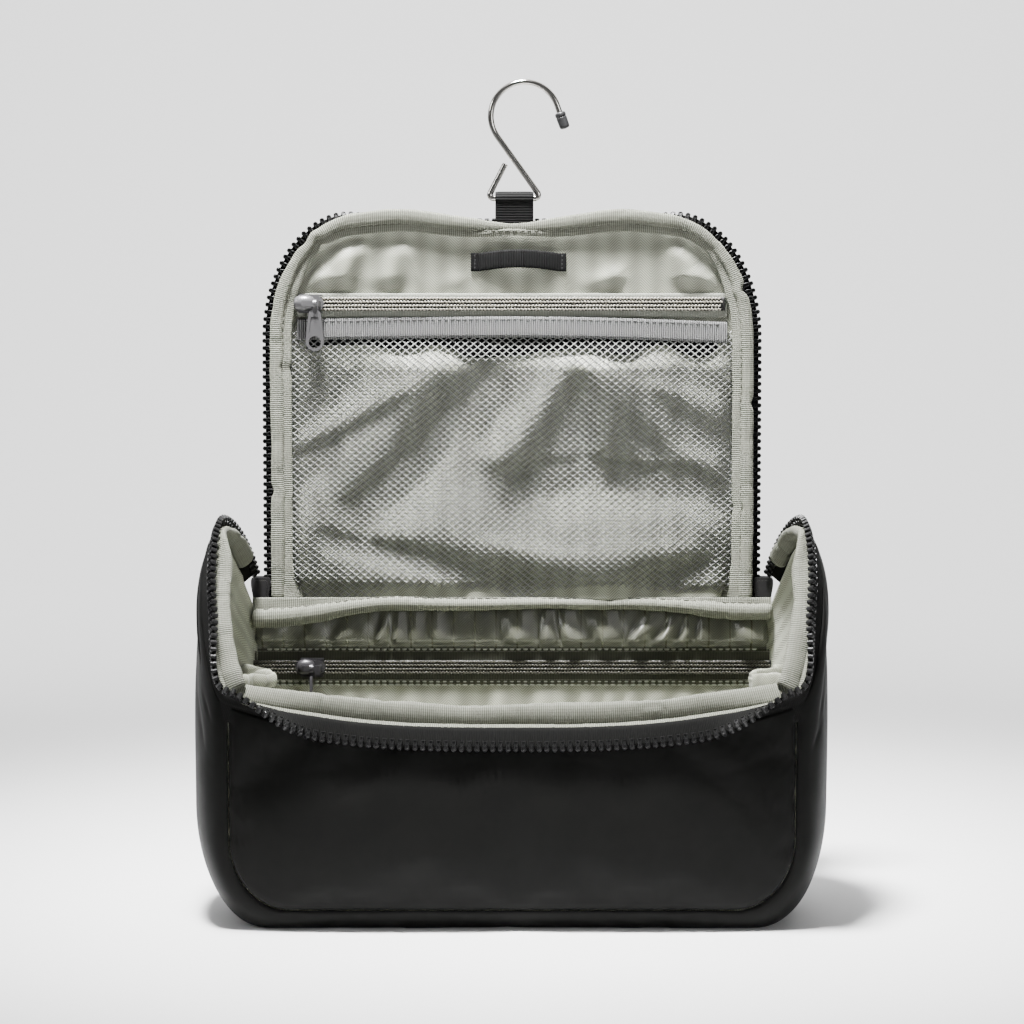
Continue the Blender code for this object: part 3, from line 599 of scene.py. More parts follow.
def ear_edge(y):
    y = np.asarray(y, float)
    front = (EAR_TOP - EAR_FRONT) * (np.clip(EAR_TOP_Y - y, 0, None) / (EAR_TOP_Y + HALF_DEPTH)) ** 2
    back = (EAR_TOP - EAR_BACK) * (np.clip(y - EAR_TOP_Y, 0, None) / (HALF_DEPTH - EAR_TOP_Y)) ** 1.8
    return EAR_TOP - front - back


def front_edge(x):
    return FRONT_DIP + (EAR_FRONT - FRONT_DIP) * np.abs(np.asarray(x) / SEAM_HALF_FRONT) ** 3


def back_edge(x):
    return np.full_like(x, BACK_TOP)


def floor_height(y):
    over = np.clip(np.abs(y) - FLAT_HALF_DEPTH, 0, None) / (HALF_DEPTH - FLAT_HALF_DEPTH)
    return FLOOR_ROUND * (1 - np.sqrt(np.clip(1 - over**2, 0, None)))


def corner_at(y):
    height = CORNER_HEIGHT + CORNER_EXTRA * math.sqrt(max(0.0, 1 - (y / HALF_DEPTH) ** 2))
    knee = float(floor_height(y)) + height
    return float(half_width(y, knee)) - CORNER_WIDTH, knee, height


def gusset_line(y, along_bottom=44, along_corner=26, along_side=64):
    """(x, z) from the left ear's edge down, across the base and up to the right ear's edge."""
    centre, knee, height = corner_at(y)
    low = float(floor_height(y))
    x = np.linspace(0, centre, along_bottom, endpoint=False)
    bottom = np.stack([x, np.full_like(x, low)], 1)
    turn = np.linspace(-math.pi / 2, 0, along_corner, endpoint=False)
    corner = np.stack([centre + CORNER_WIDTH * np.cos(turn), knee + height * np.sin(turn)], 1)
    z = np.linspace(knee, float(ear_edge(y)), along_side)
    side = np.stack([half_width(y, z), z], 1)
    right = np.concatenate([bottom, corner, side])
    left = right[:0:-1] * np.array([-1, 1])
    return np.concatenate([left, right])


def gusset_surface(rows=56):
    """The outside of the gusset as (rows across y, places along the U, 3), with outward directions."""
    turns = np.linspace(0, math.pi, rows)
    y = -HALF_DEPTH * np.cos(turns)
    grid = np.stack([np.insert(gusset_line(value), 1, value, axis=1) for value in y])
    along = np.gradient(grid, axis=1)
    across = np.gradient(grid, axis=0)
    outward = unit(np.cross(across, along))
    if outward[rows // 2, 0, 0] > 0:
        outward = -outward
    return grid, outward


def gusset_uv(grid):
    middle = lengths_along(grid[grid.shape[0] // 2])
    return stacked(grid[..., 1], middle[None, :])


def settled(grid, outward, slack, push, cap, step=3):
    """The grid after a cloth simulation, held along its rim, a little too large and pushed outwards.

    It is worked out on every step-th row and column, and no point moves further than cap.
    """
    rows, columns = (sorted({*range(0, count, step), count - 1}) for count in grid.shape[:2])
    coarse = grid[np.ix_(rows, columns)]
    faces = grid_faces(len(rows), len(columns))
    a, b, c = (coarse.reshape(-1, 3)[faces[:, k]] for k in (0, 1, 3))
    outward = np.broadcast_to(outward, grid.shape)[np.ix_(rows, columns)].reshape(-1, 3)
    facing = np.cross(b - a, c - a) * outward[faces[:, 0]]
    if facing.sum() < 0:
        faces = faces[:, ::-1]
    cloth_piece = mesh_object("settling", coarse.reshape(-1, 3), faces, coated, flip_check=False)
    index = np.arange(len(rows) * len(columns)).reshape(len(rows), len(columns))
    rim = np.concatenate([index[0], index[-1], index[:, 0], index[:, -1]])
    held = cloth_piece.vertex_groups.new(name="rim")
    held.add([int(k) for k in np.unique(rim)], 1.0, "REPLACE")
    cloth = cloth_piece.modifiers.new("cloth", "CLOTH")
    for key, value in (
        ("vertex_group_mass", "rim"),
        ("quality", 6),
        ("mass", 0.25),
        ("tension_stiffness", 14),
        ("compression_stiffness", 9),
        ("bending_stiffness", 0.6),
        ("shrink_min", -slack),
        ("use_pressure", True),
        ("uniform_pressure_force", push),
    ):
        setattr(cloth.settings, key, value)
    cloth.settings.effector_weights.gravity = 0
    cloth.collision_settings.use_collision = False
    scene = bpy.context.scene
    for number in range(1, SETTLING_FRAMES + 1):
        scene.frame_set(number)
    applied(cloth_piece)
    moved = np.empty(len(cloth_piece.data.vertices) * 3)
    cloth_piece.data.vertices.foreach_get("co", moved)
    scene.frame_set(1)
    bpy.data.objects.remove(cloth_piece)
    shift = moved.reshape(coarse.shape) - np.array(OFFSET) - coarse
    far = np.linalg.norm(shift, axis=-1, keepdims=True)
    shift = shift * (cap * np.tanh(far / cap) / np.maximum(far, 1e-9))
    across = np.arange(grid.shape[0]), np.arange(grid.shape[1])
    wide = np.stack([[np.interp(across[1], columns, line) for line in shift[..., k]] for k in range(3)], -1)
    full = np.stack([np.interp(across[0], rows, wide[:, j, k]) for j in across[1] for k in range(3)], 0)
    return grid + full.reshape(len(across[1]), 3, -1).transpose(2, 0, 1)


def build_gusset():
    grid, outward = gusset_surface()
    y, z = grid[..., 1], grid[..., 2]
    uv = gusset_uv(grid)
    from_seam = HALF_DEPTH - np.abs(y)
    free = ease(from_seam / 0.012)
    base = ease((z - 0.004) / 0.02)
    v = uv[..., 1]
    slack = 0.0009 * bumps(y, v, 0.05, 0.07, 11) * free * base
    folds = 0.0007 * creases(y, v, 68, 0.06, 0.030, 21) * free * ease((z - 0.05) / 0.04) * base
    pucker = 0.00008 * bumps(y, v, 0.02, 0.006, 12) * np.exp(-from_seam / 0.006)
    lift = slack - folds + pucker - rolled_in(from_seam, 0.0022) * 0.7
    outside = grid + outward * np.clip(lift, -0.002, 0.0012)[..., None]
    outside = settled(outside, outward, 0.004, 2.0, 0.0012)
    outside[..., 2] = np.maximum(outside[..., 2], 0.0)
    shell = sheet("gusset_shell", outside, grid - outward * WALL, coated, uv)
    finish_piece(shell, "body", "coated_fabric", "gusset_panel", "gusset_foam")

    inner = grid - outward * (WALL + 0.0006)
    inner[..., 1] = np.clip(inner[..., 1], -HALF_DEPTH + 0.0045, HALF_DEPTH - 0.0045)
    inner[..., 2] -= 0.0012 * ease((0.004 - (ear_edge(y) - z)) / 0.004)
    loose = 0.0013 * (1 + bumps(y, v, 0.03, 0.035, 31)) * free
    sag = 0.0016 * creases(y, v, 75, 0.05, 0.018, 41, 1.5) * free
    face = inner - outward * (LINING_THICK + loose + sag)[..., None]
    inside = sheet("gusset_inner", face, inner, lining, uv[..., ::-1])
    finish_piece(inside, "body", "lining", "gusset_lining")


def wall_points(half, top_of, y_seam, inset, columns, rows):
    """A flat wall inside the gusset's seam, as (columns, rows, 3), and how far each point is from it."""
    centre, knee, height = corner_at(y_seam)
    edge = half - inset
    x = edge * np.sin(np.pi * (np.arange(columns) / (columns - 1) - 0.5))
    over = np.clip((np.abs(x) - centre) / (CORNER_WIDTH - inset), 0, 1)
    low = knee - (height - inset) * np.sqrt(1 - over**2)
    up = np.linspace(0, 1, rows) ** 1.15
    z = low[:, None] + (top_of(x) - low)[:, None] * up[None, :]
    grid = stacked(np.broadcast_to(x[:, None], z.shape), np.full_like(z, y_seam), z)
    seam = np.concatenate([grid[0, ::-1], grid[:, 0], grid[-1]])[:, [0, 2]]
    flat = grid[..., [0, 2]].reshape(-1, 2)
    distance = np.sqrt(((flat[:, None] - seam[None]) ** 2).sum(-1)).min(1).reshape(z.shape)
    return grid, distance


def rolled_in(distance, radius):
    """How far a face has turned in at its seam."""
    near = np.clip(1 - distance / radius, 0, 1)
    return radius * (1 - np.sqrt(1 - near**2))


def build_front_wall():
    grid, distance = wall_points(SEAM_HALF_FRONT, front_edge, -HALF_DEPTH, 0.0006, 150, 64)
    x, z = grid[..., 0], grid[..., 2]
    up = (z - z[:, :1]) / (z[:, -1:] - z[:, :1])
    swell = 0.0036 * (1 - (x / SEAM_HALF_FRONT) ** 4) * np.sin(np.pi * np.clip(up, 0, 1)) ** 0.8
    free = ease(distance / 0.010) * ease((1 - up) / 0.06)
    slack = 0.0009 * bumps(x, z, 0.06, 0.04, 51) + 0.0004 * bumps(x, z, 0.02, 0.015, 52)
    folds = 0.0007 * creases(x, z, 8, 0.10, 0.020, 61) * ease((up - 0.45) / 0.4)
    pucker = 0.00010 * bumps(x, z, 0.006, 0.006, 12) * np.exp(-distance / 0.005)
    out = swell + (slack - folds) * free + pucker - rolled_in(distance, 0.0028) * 0.8
    outside = grid.copy()
    outside[..., 1] -= out
    outside = settled(outside, FORWARDS, 0.006, 2.0, 0.0022)
    back = grid.copy()
    back[..., 1] += WALL - np.clip(swell, 0, 0.0035)
    uv = stacked(x, z)
    shell = sheet("front_shell", outside, back, coated, uv)
    finish_piece(shell, "body", "coated_fabric", "front_panel", "front_foam")

    inner = back.copy()
    inner[..., 1] += 0.0005
    inner[..., 2] -= 0.0020 * up**8
    inner[..., 0] *= 0.968
    face = inner.copy()
    loose = 0.0009 * (1 + bumps(x, z, 0.025, 0.02, 71)) + 0.0012 * creases(x, z, 95, 0.05, 0.02, 72)
    face[..., 1] += LINING_THICK + free * loose
    inside = sheet("front_inner", face, inner, lining, uv)
    finish_piece(inside, "body", "lining", "front_lining")


def build_back_wall():
    grid, distance = wall_points(SEAM_HALF_BACK, back_edge, HALF_DEPTH, 0.0006, 130, 60)
    x, z = grid[..., 0], grid[..., 2]
    up = (z - z[:, :1]) / (z[:, -1:] - z[:, :1])
    free = ease(distance / 0.010) * ease((1 - up) / 0.05)
    swell = 0.0016 * (1 - (x / SEAM_HALF_BACK) ** 4) * np.sin(np.pi * up)
    out = swell + 0.0007 * bumps(x, z, 0.05, 0.04, 81) * free
    pucker = 0.00010 * bumps(x, z, 0.006, 0.006, 12) * np.exp(-distance / 0.005)
    outside = grid.copy()
    outside[..., 1] += out + pucker - rolled_in(distance, 0.0026) * 0.8
    puffed = settled(outside, BACKWARDS, 0.012, 2.0, 0.0018)
    outside += (puffed - outside) * ease((LID_FOLD_Z - 0.014 - z) / 0.014)[..., None]
    back = grid.copy()
    back[..., 1] -= 0.0025
    shell = sheet("back_shell", outside, back, coated, stacked(x, z))
    finish_piece(shell, "body", "coated_fabric", "back_panel", "back_foam")
    build_rear_pocket()


def pleats(x, z, pitch, seed):
    """Uneven upright folds, from 0 to 1, each with a steep side and a slow one."""
    drift = 0.9 * bumps(x, z, 0.030, 0.030, seed) + 0.25 * bumps(x, z, 0.012, 0.020, seed + 1)
    turn = np.mod(x / pitch + drift, 1.0)
    fold = np.where(turn < 0.35, ease(turn / 0.35), ease((1 - turn) / 0.65))
    return fold * (0.65 + 0.35 * bumps(x, z, 0.020, 0.05, seed + 2))


def build_rear_pocket():
    """The lining of the back wall: a strip above the zip, and the pocket's front below it."""
    back = BACK_LINING_FACE + 0.0005
    for name, low, high, node in (
        ("rear_pocket_front", None, REAR_ZIP_Z - REAR_TAPE_LOW, ("back_lining", "rear_pocket_bag")),
        ("rear_strip", REAR_ZIP_Z + REAR_TAPE_TOP, LID_FOLD_Z - 0.0018, ()),
    ):
        columns, rows = 420, 100 if low is None else 44
        x = np.linspace(-1, 1, columns)[:, None] * np.ones(rows)[None]
        foot = 0.010 if low is None else low
        z = foot + (high - foot) * np.linspace(0, 1, rows)[None] * np.ones(columns)[:, None]
        centre, knee, height = corner_at(0.046)
        over = np.clip((knee - z) / height, 0, 1)
        rounded = centre + CORNER_WIDTH * np.sqrt(1 - over**2)
        half = np.minimum(half_width(0.0462, z), rounded) - WALL - 0.0012
        x = x * half
        near_zip = np.maximum(z - REAR_ZIP_Z - REAR_TAPE_TOP, REAR_ZIP_Z - REAR_TAPE_LOW - z)
        fold = 0.0008 * np.exp(-np.clip(near_zip, 0, None) / 0.0012)
        ditch = 0.0006 * bell(near_zip - 0.0012, 0.0006)
        if low is None:
            gather = 0.0024 * pleats(x, z, 0.0150, 92) * ease((near_zip - 0.0004) / 0.014)
        else:
            belly = np.sin(np.pi * np.clip((z - low) / (high - low), 0, 1) ** 0.62)
            belly = belly * ease((near_zip - 0.0018) / 0.004)
            gather = (0.0026 + 0.0036 * pleats(x, z, 0.0140, 92)) * belly
        sides = ease((half - np.abs(x)) / 0.004)
        face = stacked(x, back - LINING_THICK - fold + (ditch - gather) * sides, z)
        rear = stacked(x, back, z)
        # The strip above the rear zip takes the lining's darker copy: painted shade under the hinge roll.
        finish = lining_painted_shade if node == () else lining_pocket
        piece = sheet(name, face, rear, finish, stacked(x, z))
        finish_piece(piece, "body", "lining", *node)
    levels = (REAR_TAPE_TOP + 0.0010, -REAR_TAPE_LOW - 0.0008, -REAR_TAPE_LOW - 0.0022)
    for number, level in enumerate(levels):
        line = stacked(np.linspace(-0.1065, 0.1065, 260), back - LINING_THICK - 0.0003, REAR_ZIP_Z + level)
        row = stitches(f"rear_stitch_{number}", line, FORWARDS, stitch_light, 0.0024, 0.0005, 0.00042)
        finish_piece(row, "body", "lining")


def pocket_depth(y, up, side):
    """How far in from the gusset a side pocket's cloth stands."""
    belly = 0.0045 * np.cos(y / 0.034 * math.pi / 2) * up**1.5
    gathers = 0.0038 * bumps(y + 0.004 * up, 0 * y, 0.0050, 1.0, 101 + side) * up**1.1
    stand = 0.0160 * ease((y + 0.012) / 0.024) * ease((0.033 - y) / 0.012) * up**0.8
    return 0.0074 + belly + stand + gathers * ease((0.036 - np.abs(y)) / 0.004)


def build_side_pockets():
    for side, name in ((-1, "left"), (1, "right")):
        low, high = reach(f"side_pocket_{name}", 2, 0), reach(f"side_pocket_hem_{name}", 2, 1)
        y, z = grid_over((-0.034, 0.034, 170), (low, high - 0.0035, 60))
        up = (z - low) / (high - low)
        inset = pocket_depth(y, up, side)
        face = stacked(side * (half_width(y, z) - inset - 0.0004), y, z)
        rear = stacked(side * (half_width(y, z) - inset + 0.0003), y, z)
        pocket = sheet(f"pocket_{name}", face, rear, lining, stacked(y, z))
        finish_piece(pocket, "body", "lining", f"side_pocket_{name}")
        line_y = np.linspace(-0.034, 0.034, 260)
        top = high - 0.0036 + 0.0007 * bumps(line_y, 0 * line_y, 0.006, 1.0, 104)
        depth = pocket_depth(line_y, 0.95, side)
        centre = stacked(side * (half_width(line_y, top) - depth), line_y, top)
        name = f"pocket_hem_{name}"
        hem = roll(name, centre, (1.0, 0.0, 0.0), UPWARDS, 0.0016, 0.0036, lining_pocket, 0.0007, 111)
        finish_piece(hem, "body", "lining", f"side_{name}")


# ---- Rolls, stitches, teeth and coils -----------------------------------------------------------

def strip(name, edge_a, edge_b, off, thick, finish, wave=0.0003, seed=5, bow=0.0, columns=8):
    """A flat tape between two edges, off being the way off its visible face at each station."""
    v = np.linspace(0, 1, columns)
    lengths = lengths_along((edge_a + edge_b) / 2)
    points = edge_a[:, None] * (1 - v)[None, :, None] + edge_b[:, None] * v[None, :, None]
    across = np.linalg.norm(edge_b - edge_a, axis=1)[:, None] * v[None]
    ripple = wave * bumps(np.broadcast_to(lengths[:, None], across.shape), across, 0.006, 0.004, seed)
    ripple = ripple * np.sin(np.pi * (0.15 + 0.85 * v))[None] + bow * np.sin(np.pi * v)[None]
    front = points + off[:, None] * (ripple + thick / 2)[..., None]
    back = points + off[:, None] * (ripple - thick / 2)[..., None]
    uv = stacked(lengths[:, None], across)
    return sheet(name, front, back, finish, uv)


def roll(name, centres, across, up, half_across, half_up, finish, gather, seed, sides=24):
    """A soft roll of tape along a line, with small gathers and a slow waver."""
    count, power = len(centres), 2.2
    lengths = lengths_along(centres)
    across, up = (np.broadcast_to(way, centres.shape) for way in (across, up))
    half_across = np.broadcast_to(half_across, count)[:, None]
    half_up = np.broadcast_to(half_up, count)[:, None]
    turns = np.linspace(0, 2 * math.pi, sides, endpoint=False)
    c, s = np.cos(turns)[None], np.sin(turns)[None]
    a = np.sign(c) * np.abs(c) ** (2 / power) * half_across
    b = np.sign(s) * np.abs(s) ** (2 / power) * half_up
    along = np.broadcast_to(lengths[:, None], (count, sides))
    around = np.broadcast_to(np.abs(turns - math.pi)[None] * 0.004, (count, sides))
    rough = gather * (
        1.1 * bumps(along, around, 0.0090, 0.010, seed)
        - 1.6 * creases(along, around, 70, 0.02, 0.0140, seed + 1, 3.5)
        + 0.5 * bumps(along, around, 0.0026, 0.008, seed + 2)
    )
    slow = gather * 1.3 * bumps(lengths, 0 * lengths, 0.031, 1.0, seed + 3)
    normal = unit(across[:, None] * (c * half_up)[..., None] + up[:, None] * (s * half_across)[..., None])
    rings = centres[:, None] + across[:, None] * a[..., None] + up[:, None] * b[..., None]
    rings = rings + normal * rough[..., None] + (up * slow[:, None])[:, None]
    fade = ease(np.minimum(lengths, lengths[-1] - lengths) / 0.0015)[:, None, None] * 0.25 + 0.75
    return tube(name, centres[:, None] + (rings - centres[:, None]) * fade, finish)


def stitch_shape(length, radius, sides=6, stations=5):
    """A short thread along x that dips at both ends, with z up."""
    verts = []
    for k in range(stations):
        t = k / (stations - 1) * 2 - 1
        r = radius * (1.0 if abs(t) < 0.9 else 0.7)
        lift = radius * 1.1 * (1 - abs(t) ** 3) - radius * 0.7
        for n in range(sides):
            turn = 2 * math.pi * n / sides
            verts.append((t * length / 2, r * math.cos(turn), lift + r * math.sin(turn)))
    faces = [
        [k * sides + n, k * sides + (n + 1) % sides, (k + 1) * sides + (n + 1) % sides, (k + 1) * sides + n]
        for k in range(stations - 1)
        for n in range(sides)
    ]
    faces += [list(range(sides))[::-1], list(range((stations - 1) * sides, stations * sides))]
    return verts, faces


def stitches(name, points, out, finish, length=0.0023, gap=0.0007, radius=0.00022):
    """A row of stitches on a line of points, out being the way off the cloth, one or one for each point."""
    out = np.broadcast_to(out, points.shape)
    (line, off), _ = resampled(points, (out,), length + gap)
    middle = (line[1:] + line[:-1]) / 2
    along = unit(line[1:] - line[:-1])
    up = unit((off[1:] + off[:-1]) / 2)
    side = np.cross(up, along)
    verts, faces = stitch_shape(length, radius)
    return copies(name, verts, faces, (middle, along, side, up), finish)


def tooth_shape():
    """A moulded tooth: x along the chain, y away from the tape, z through the chain."""
    head = arc((0, 0.00125), 0.00104, -38, 218, 12)
    outline = [(0.00098, -0.0019), (0.00098, -0.0002), (0.00062, 0.0003)] + head
    outline += [(-0.00062, 0.0003), (-0.00098, -0.0002), (-0.00098, -0.0019)]
    bm = bmesh.new()
    face = bm.faces.new([bm.verts.new((a, b, -0.00105)) for a, b in outline])
    grown = bmesh.ops.extrude_face_region(bm, geom=[face])["geom"]
    top = next(g for g in grown if isinstance(g, bmesh.types.BMFace))
    bmesh.ops.translate(bm, verts=top.verts, vec=(0, 0, 0.0021))
    bmesh.ops.recalc_face_normals(bm, faces=bm.faces)
    for end in (face, top):
        for inset, depth in ((0.00022, 0.00020), (0.00020, 0.0), (0.00016, -0.00035)):
            bmesh.ops.inset_region(bm, faces=[end], thickness=inset, depth=depth, use_even_offset=False)
    return taken(bm)


def teeth(name, points, away, face, finish):
    """A tooth every pitch along the line where the tape's edge runs."""
    (line, out, through), _ = resampled(points, (away, face), TOOTH_PITCH)
    along = tangents(line)
    out = squared(out, along)
    through = np.cross(along, out)
    verts, faces = tooth_shape()
    return copies(name, verts, faces, (line, along, out, through), finish, sharp=32)


def bead_shape(length, wide, rings=5, sides=8):
    """A small rounded grain lying along x."""
    verts = [(-length / 2, 0.0, 0.0)]
    for k in range(1, rings + 1):
        turn = math.pi * k / (rings + 1)
        for n in range(sides):
            spin = 2 * math.pi * n / sides
            r = wide / 2 * math.sin(turn) ** 0.6
            verts.append((-length / 2 * math.cos(turn), r * math.cos(spin), r * math.sin(spin)))
    verts.append((length / 2, 0.0, 0.0))
    faces = [[0, 1 + (n + 1) % sides, 1 + n] for n in range(sides)]
    for k in range(rings - 1):
        for n in range(sides):
            a, b = 1 + k * sides + n, 1 + k * sides + (n + 1) % sides
            faces.append([a, b, b + sides, a + sides])
    last = 1 + (rings - 1) * sides
    faces += [[last + n, last + (n + 1) % sides, len(verts) - 1] for n in range(sides)]
    return verts, faces


def coil_half(name, half, depth, z, side, finish):
    """One half of a coil zip: two rows of slanting turns and the row of tips at the middle."""
    verts, faces = bead_shape(1.0, 1.0)
    verts = np.array(verts)
    places, ax, ay, az = [], [], [], []
    for offset, slant, long, wide, lift, shift in (
        (0.00232, 32, 0.00158, 0.00100, 0.00015, 0.0),
        (0.00082, -24, 0.00150, 0.00092, 0.00005, 0.5 if side > 0 else 0.0),
    ):
        x = np.arange(-half, half, COIL_PITCH) + shift * COIL_PITCH
        turn = math.radians(slant * side)
        along = np.array([math.cos(turn), 0, math.sin(turn)])
        across = np.array([-math.sin(turn), 0, math.cos(turn)])
        for value in x:
            places.append((value, depth + lift, z + side * offset))
            ax.append(along * long)
            ay.append(across * wide)
            az.append((0, wide, 0))
    return copies(name, verts, faces, (places, ax, ay, az), finish)


# ---- The opening's edge -------------------------------------------------------------------------
def opening_line():
    """Fine points round the opening from the right ear's back edge, with outward, upward and fold."""
    y_start = 0.0395
    turn = np.linspace(0, math.pi / 2, 260)[:-1]
    y = -HALF_DEPTH + (y_start + HALF_DEPTH) * (1 - np.sin(turn))
    z = ear_edge(y)
    right = np.stack([half_width(y, z), y, z], 1)
    step = 0.0004
    inside = np.clip(y, -HALF_DEPTH + step, HALF_DEPTH - step)
    slope_y = (half_width(inside + step, z) - half_width(inside - step, z)) / (2 * step)
    slope_z = (half_width(inside, z + step) - half_width(inside, z - step)) / (2 * step)
    right_out = unit(np.stack([np.ones_like(y), -slope_y, -slope_z], 1))
    x = np.linspace(SEAM_HALF_FRONT, -SEAM_HALF_FRONT, 301)
    front = np.stack([x, np.full_like(x, -HALF_DEPTH), front_edge(x)], 1)
    front_out = np.tile([0.0, -1.0, 0.0], (len(x), 1))
    flip = np.array([-1.0, 1, 1])
    points = np.concatenate([right, front, right[::-1] * flip])
    outward = np.concatenate([right_out, front_out, right_out[::-1] * flip])
    (points, outward), _ = resampled(points, (outward,), 0.0009)
    points, outward = smoothed(points, 9), unit(smoothed(outward, 13))
    along = tangents(points)
    outward = squared(outward, along)
    upward = np.cross(outward, along)
    upward *= np.sign(upward[:, 2:3])
    on_front = points[:, 1] <= -HALF_DEPTH + 0.0002
    ear_share = 0.35 * np.clip((-0.035 - points[:, 1]) / 0.015, 0, 1)
    front_share = 0.35 + 0.65 * np.clip((SEAM_HALF_FRONT - np.abs(points[:, 0])) / 0.035, 0, 1)
    share = np.where(on_front, front_share, ear_share)
    share = smoothed(share[:, None], 15)[:, 0]
    return points, outward, upward, share


def turned_tape(name, start, upward, outward, fold, width, finish):
    """A zip tape that leaves its seam along upward and bends outwards by fold over its first stretch."""
    steps = np.linspace(0, 1, 12) * np.mean(width)
    width = np.broadcast_to(width, len(start)) / np.mean(width)
    place = start.copy()
    centre, face_way = [start - upward * 0.0012], [outward]
    centre.append(place.copy())
    face_way.append(outward)
    for near, far in zip(steps, steps[1:]):
        turn = (fold * float(ease((near + far) / 2 / 0.0034)))[:, None]
        place = place + (upward * np.cos(turn) + outward * np.sin(turn)) * ((far - near) * width)[:, None]
        centre.append(place.copy())
        face_way.append(outward * np.cos(turn) - upward * np.sin(turn))
    grid, face = np.stack(centre, 1), np.stack(face_way, 1)
    lengths = np.concatenate([[-0.0012], steps])
    uv = stacked(lengths_along(start)[:, None], lengths[None])
    tape = sheet(name, grid + face * 0.0003, grid - face * 0.0003, finish, uv)
    away = upward * np.cos(fold)[:, None] + outward * np.sin(fold)[:, None]
    return tape, place, away, face[:, -1]


def build_opening():
    points, outward, upward, share = opening_line()
    inside = points[:, 1] < 0.0388
    points, outward, upward, share = points[inside], outward[inside], upward[inside], share[inside]
    start = points - outward * 0.0002 + upward * (0.0010 + 0.0026 * share)[:, None]
    fold = np.radians(160 * share)
    width = 0.0086 + 0.0022 * share
    tape, edge, away, face = turned_tape("body_tape", start, upward, outward, fold, width, black_tape)
    finish_piece(tape, "body", "black_tape", "body_zip_tape")
    chain = teeth("body_teeth", edge - away * 0.0009, away, face, teeth_plastic)
    finish_piece(chain, "body", "black_zip", "body_zip_teeth")
    low_edge, top_edge = points - outward * 0.0012 - upward * 0.0060, start + upward * 0.0008
    seam = strip("body_tape_seam", low_edge, top_edge, outward, 0.0006, black_tape, 0.0001, 129)
    finish_piece(seam, "body", "black_tape")
    keep = points[:, 1] < 0.031
    points, outward, upward, share = points[keep], outward[keep], upward[keep], share[keep]
    lean = np.radians(3 + 49 * ease((-0.004 - points[:, 1]) / 0.018))[:, None] * (1 - share)[:, None]
    wide = upward * np.cos(lean) - outward * np.sin(lean)
    thin = outward * np.cos(lean) + upward * np.sin(lean)
    tip = bell(points[:, 1] - EAR_TOP_Y, 0.010) * (1 - share)
    half_up = 0.0046 - 0.0014 * tip
    centre = points - outward * (0.0030 + 0.0010 * share)[:, None]
    centre = centre + wide * (0.0050 + 0.0046 * share)[:, None]
    crumple = 0.0009 * tip * bumps(lengths_along(points), 0 * share, 0.0065, 1.0, 125)
    centre = centre + wide * crumple[:, None]
    # The opening's roll and flange take the binding's darker copy: painted shade.
    edge_roll = roll("opening_binding", centre, thin, wide, 0.0022, half_up, binding_painted_shade, 0.00040, 121)
    finish_piece(edge_roll, "body", "binding", "body_binding")
    left = ease((-points[:, 0] - 0.030) / 0.05) * share
    low_edge = points + outward * (0.0024 * share - 0.0010)[:, None]
    low_edge = low_edge + upward * (0.0024 + 0.0022 * share - 0.0009 * left)[:, None]
    top_edge = centre + thin * 0.0016 - wide * (half_up - 0.0012)[:, None]
    off = unit(thin + wide * 0.35)
    flat = strip("opening_flange", low_edge, top_edge, off, 0.0007, binding_painted_shade, 0.0002, 127)
    finish_piece(flat, "body", "binding")
    row_line = centre + thin * 0.0020 - wide * (half_up - 0.0002)[:, None]
    finish_piece(stitches("opening_stitches", row_line[6:-6], off[6:-6], stitch_painted_shadow), "body", "binding")


# ---- The lid ------------------------------------------------------------------------------------
def lid_line(inset, low, spacing=0.0009):
    """Points round the lid's edge from its lower right to its lower left, with the way outwards."""
    centre = np.array([LID_HALF - LID_CORNER[0], LID_TOP - LID_CORNER[1]])
    radius = np.array(LID_CORNER) - inset
    z = np.linspace(low, centre[1], 200, endpoint=False)
    side = np.stack([np.full_like(z, LID_HALF - inset), z], 1)
    turn = np.linspace(0, math.pi / 2, 200)
    corner = centre + radius * np.stack([np.cos(turn), np.sin(turn)], 1)
    x = np.linspace(centre[0], 0, 100)[1:]
    top = np.stack([x, np.full_like(x, centre[1] + radius[1])], 1)
    right = np.concatenate([side, corner, top])
    flat = np.concatenate([right, right[-2::-1] * np.array([-1, 1])])
    (flat,), _ = resampled(flat, (), spacing)
    along = tangents(flat)
    away = np.stack([along[:, 1], np.zeros(len(flat)), -along[:, 0]], 1)
    return np.insert(flat, 1, 0.0, axis=1), away


def lid_half_at(z, inset):
    """Half the lid's width at a height, inset from its edge."""
    centre_z = LID_TOP - LID_CORNER[1]
    over = np.clip((np.asarray(z) - centre_z) / (LID_CORNER[1] - inset), 0, 1)
    return LID_HALF - LID_CORNER[0] + (LID_CORNER[0] - inset) * np.sqrt(1 - over**2)


def lid_grid(inset, low, high, columns, rows):
    """(columns, rows, 3) across the lid's face, and the distance of each point from its edge."""
    up = np.sin(np.linspace(0, 1, rows) * math.pi / 2) if high > 0.27 else np.linspace(0, 1, rows)
    z = low + (high - low) * up
    across = np.sin(np.pi * (np.arange(columns) / (columns - 1) - 0.5))
    across = 0.5 * across + 0.5 * np.linspace(-1, 1, columns)
    x = across[:, None] * lid_half_at(z, inset)[None, :]
    z = np.broadcast_to(z[None], x.shape)
    grid = stacked(x, np.zeros_like(x), z)
    edge, _ = lid_line(inset, low)
    flat = grid[..., [0, 2]].reshape(-1, 2)
    edge = edge[::6, [0, 2]]
    distance = np.sqrt(((flat[:, None] - edge[None]) ** 2).sum(-1)).min(1).reshape(x.shape)
    return grid, distance


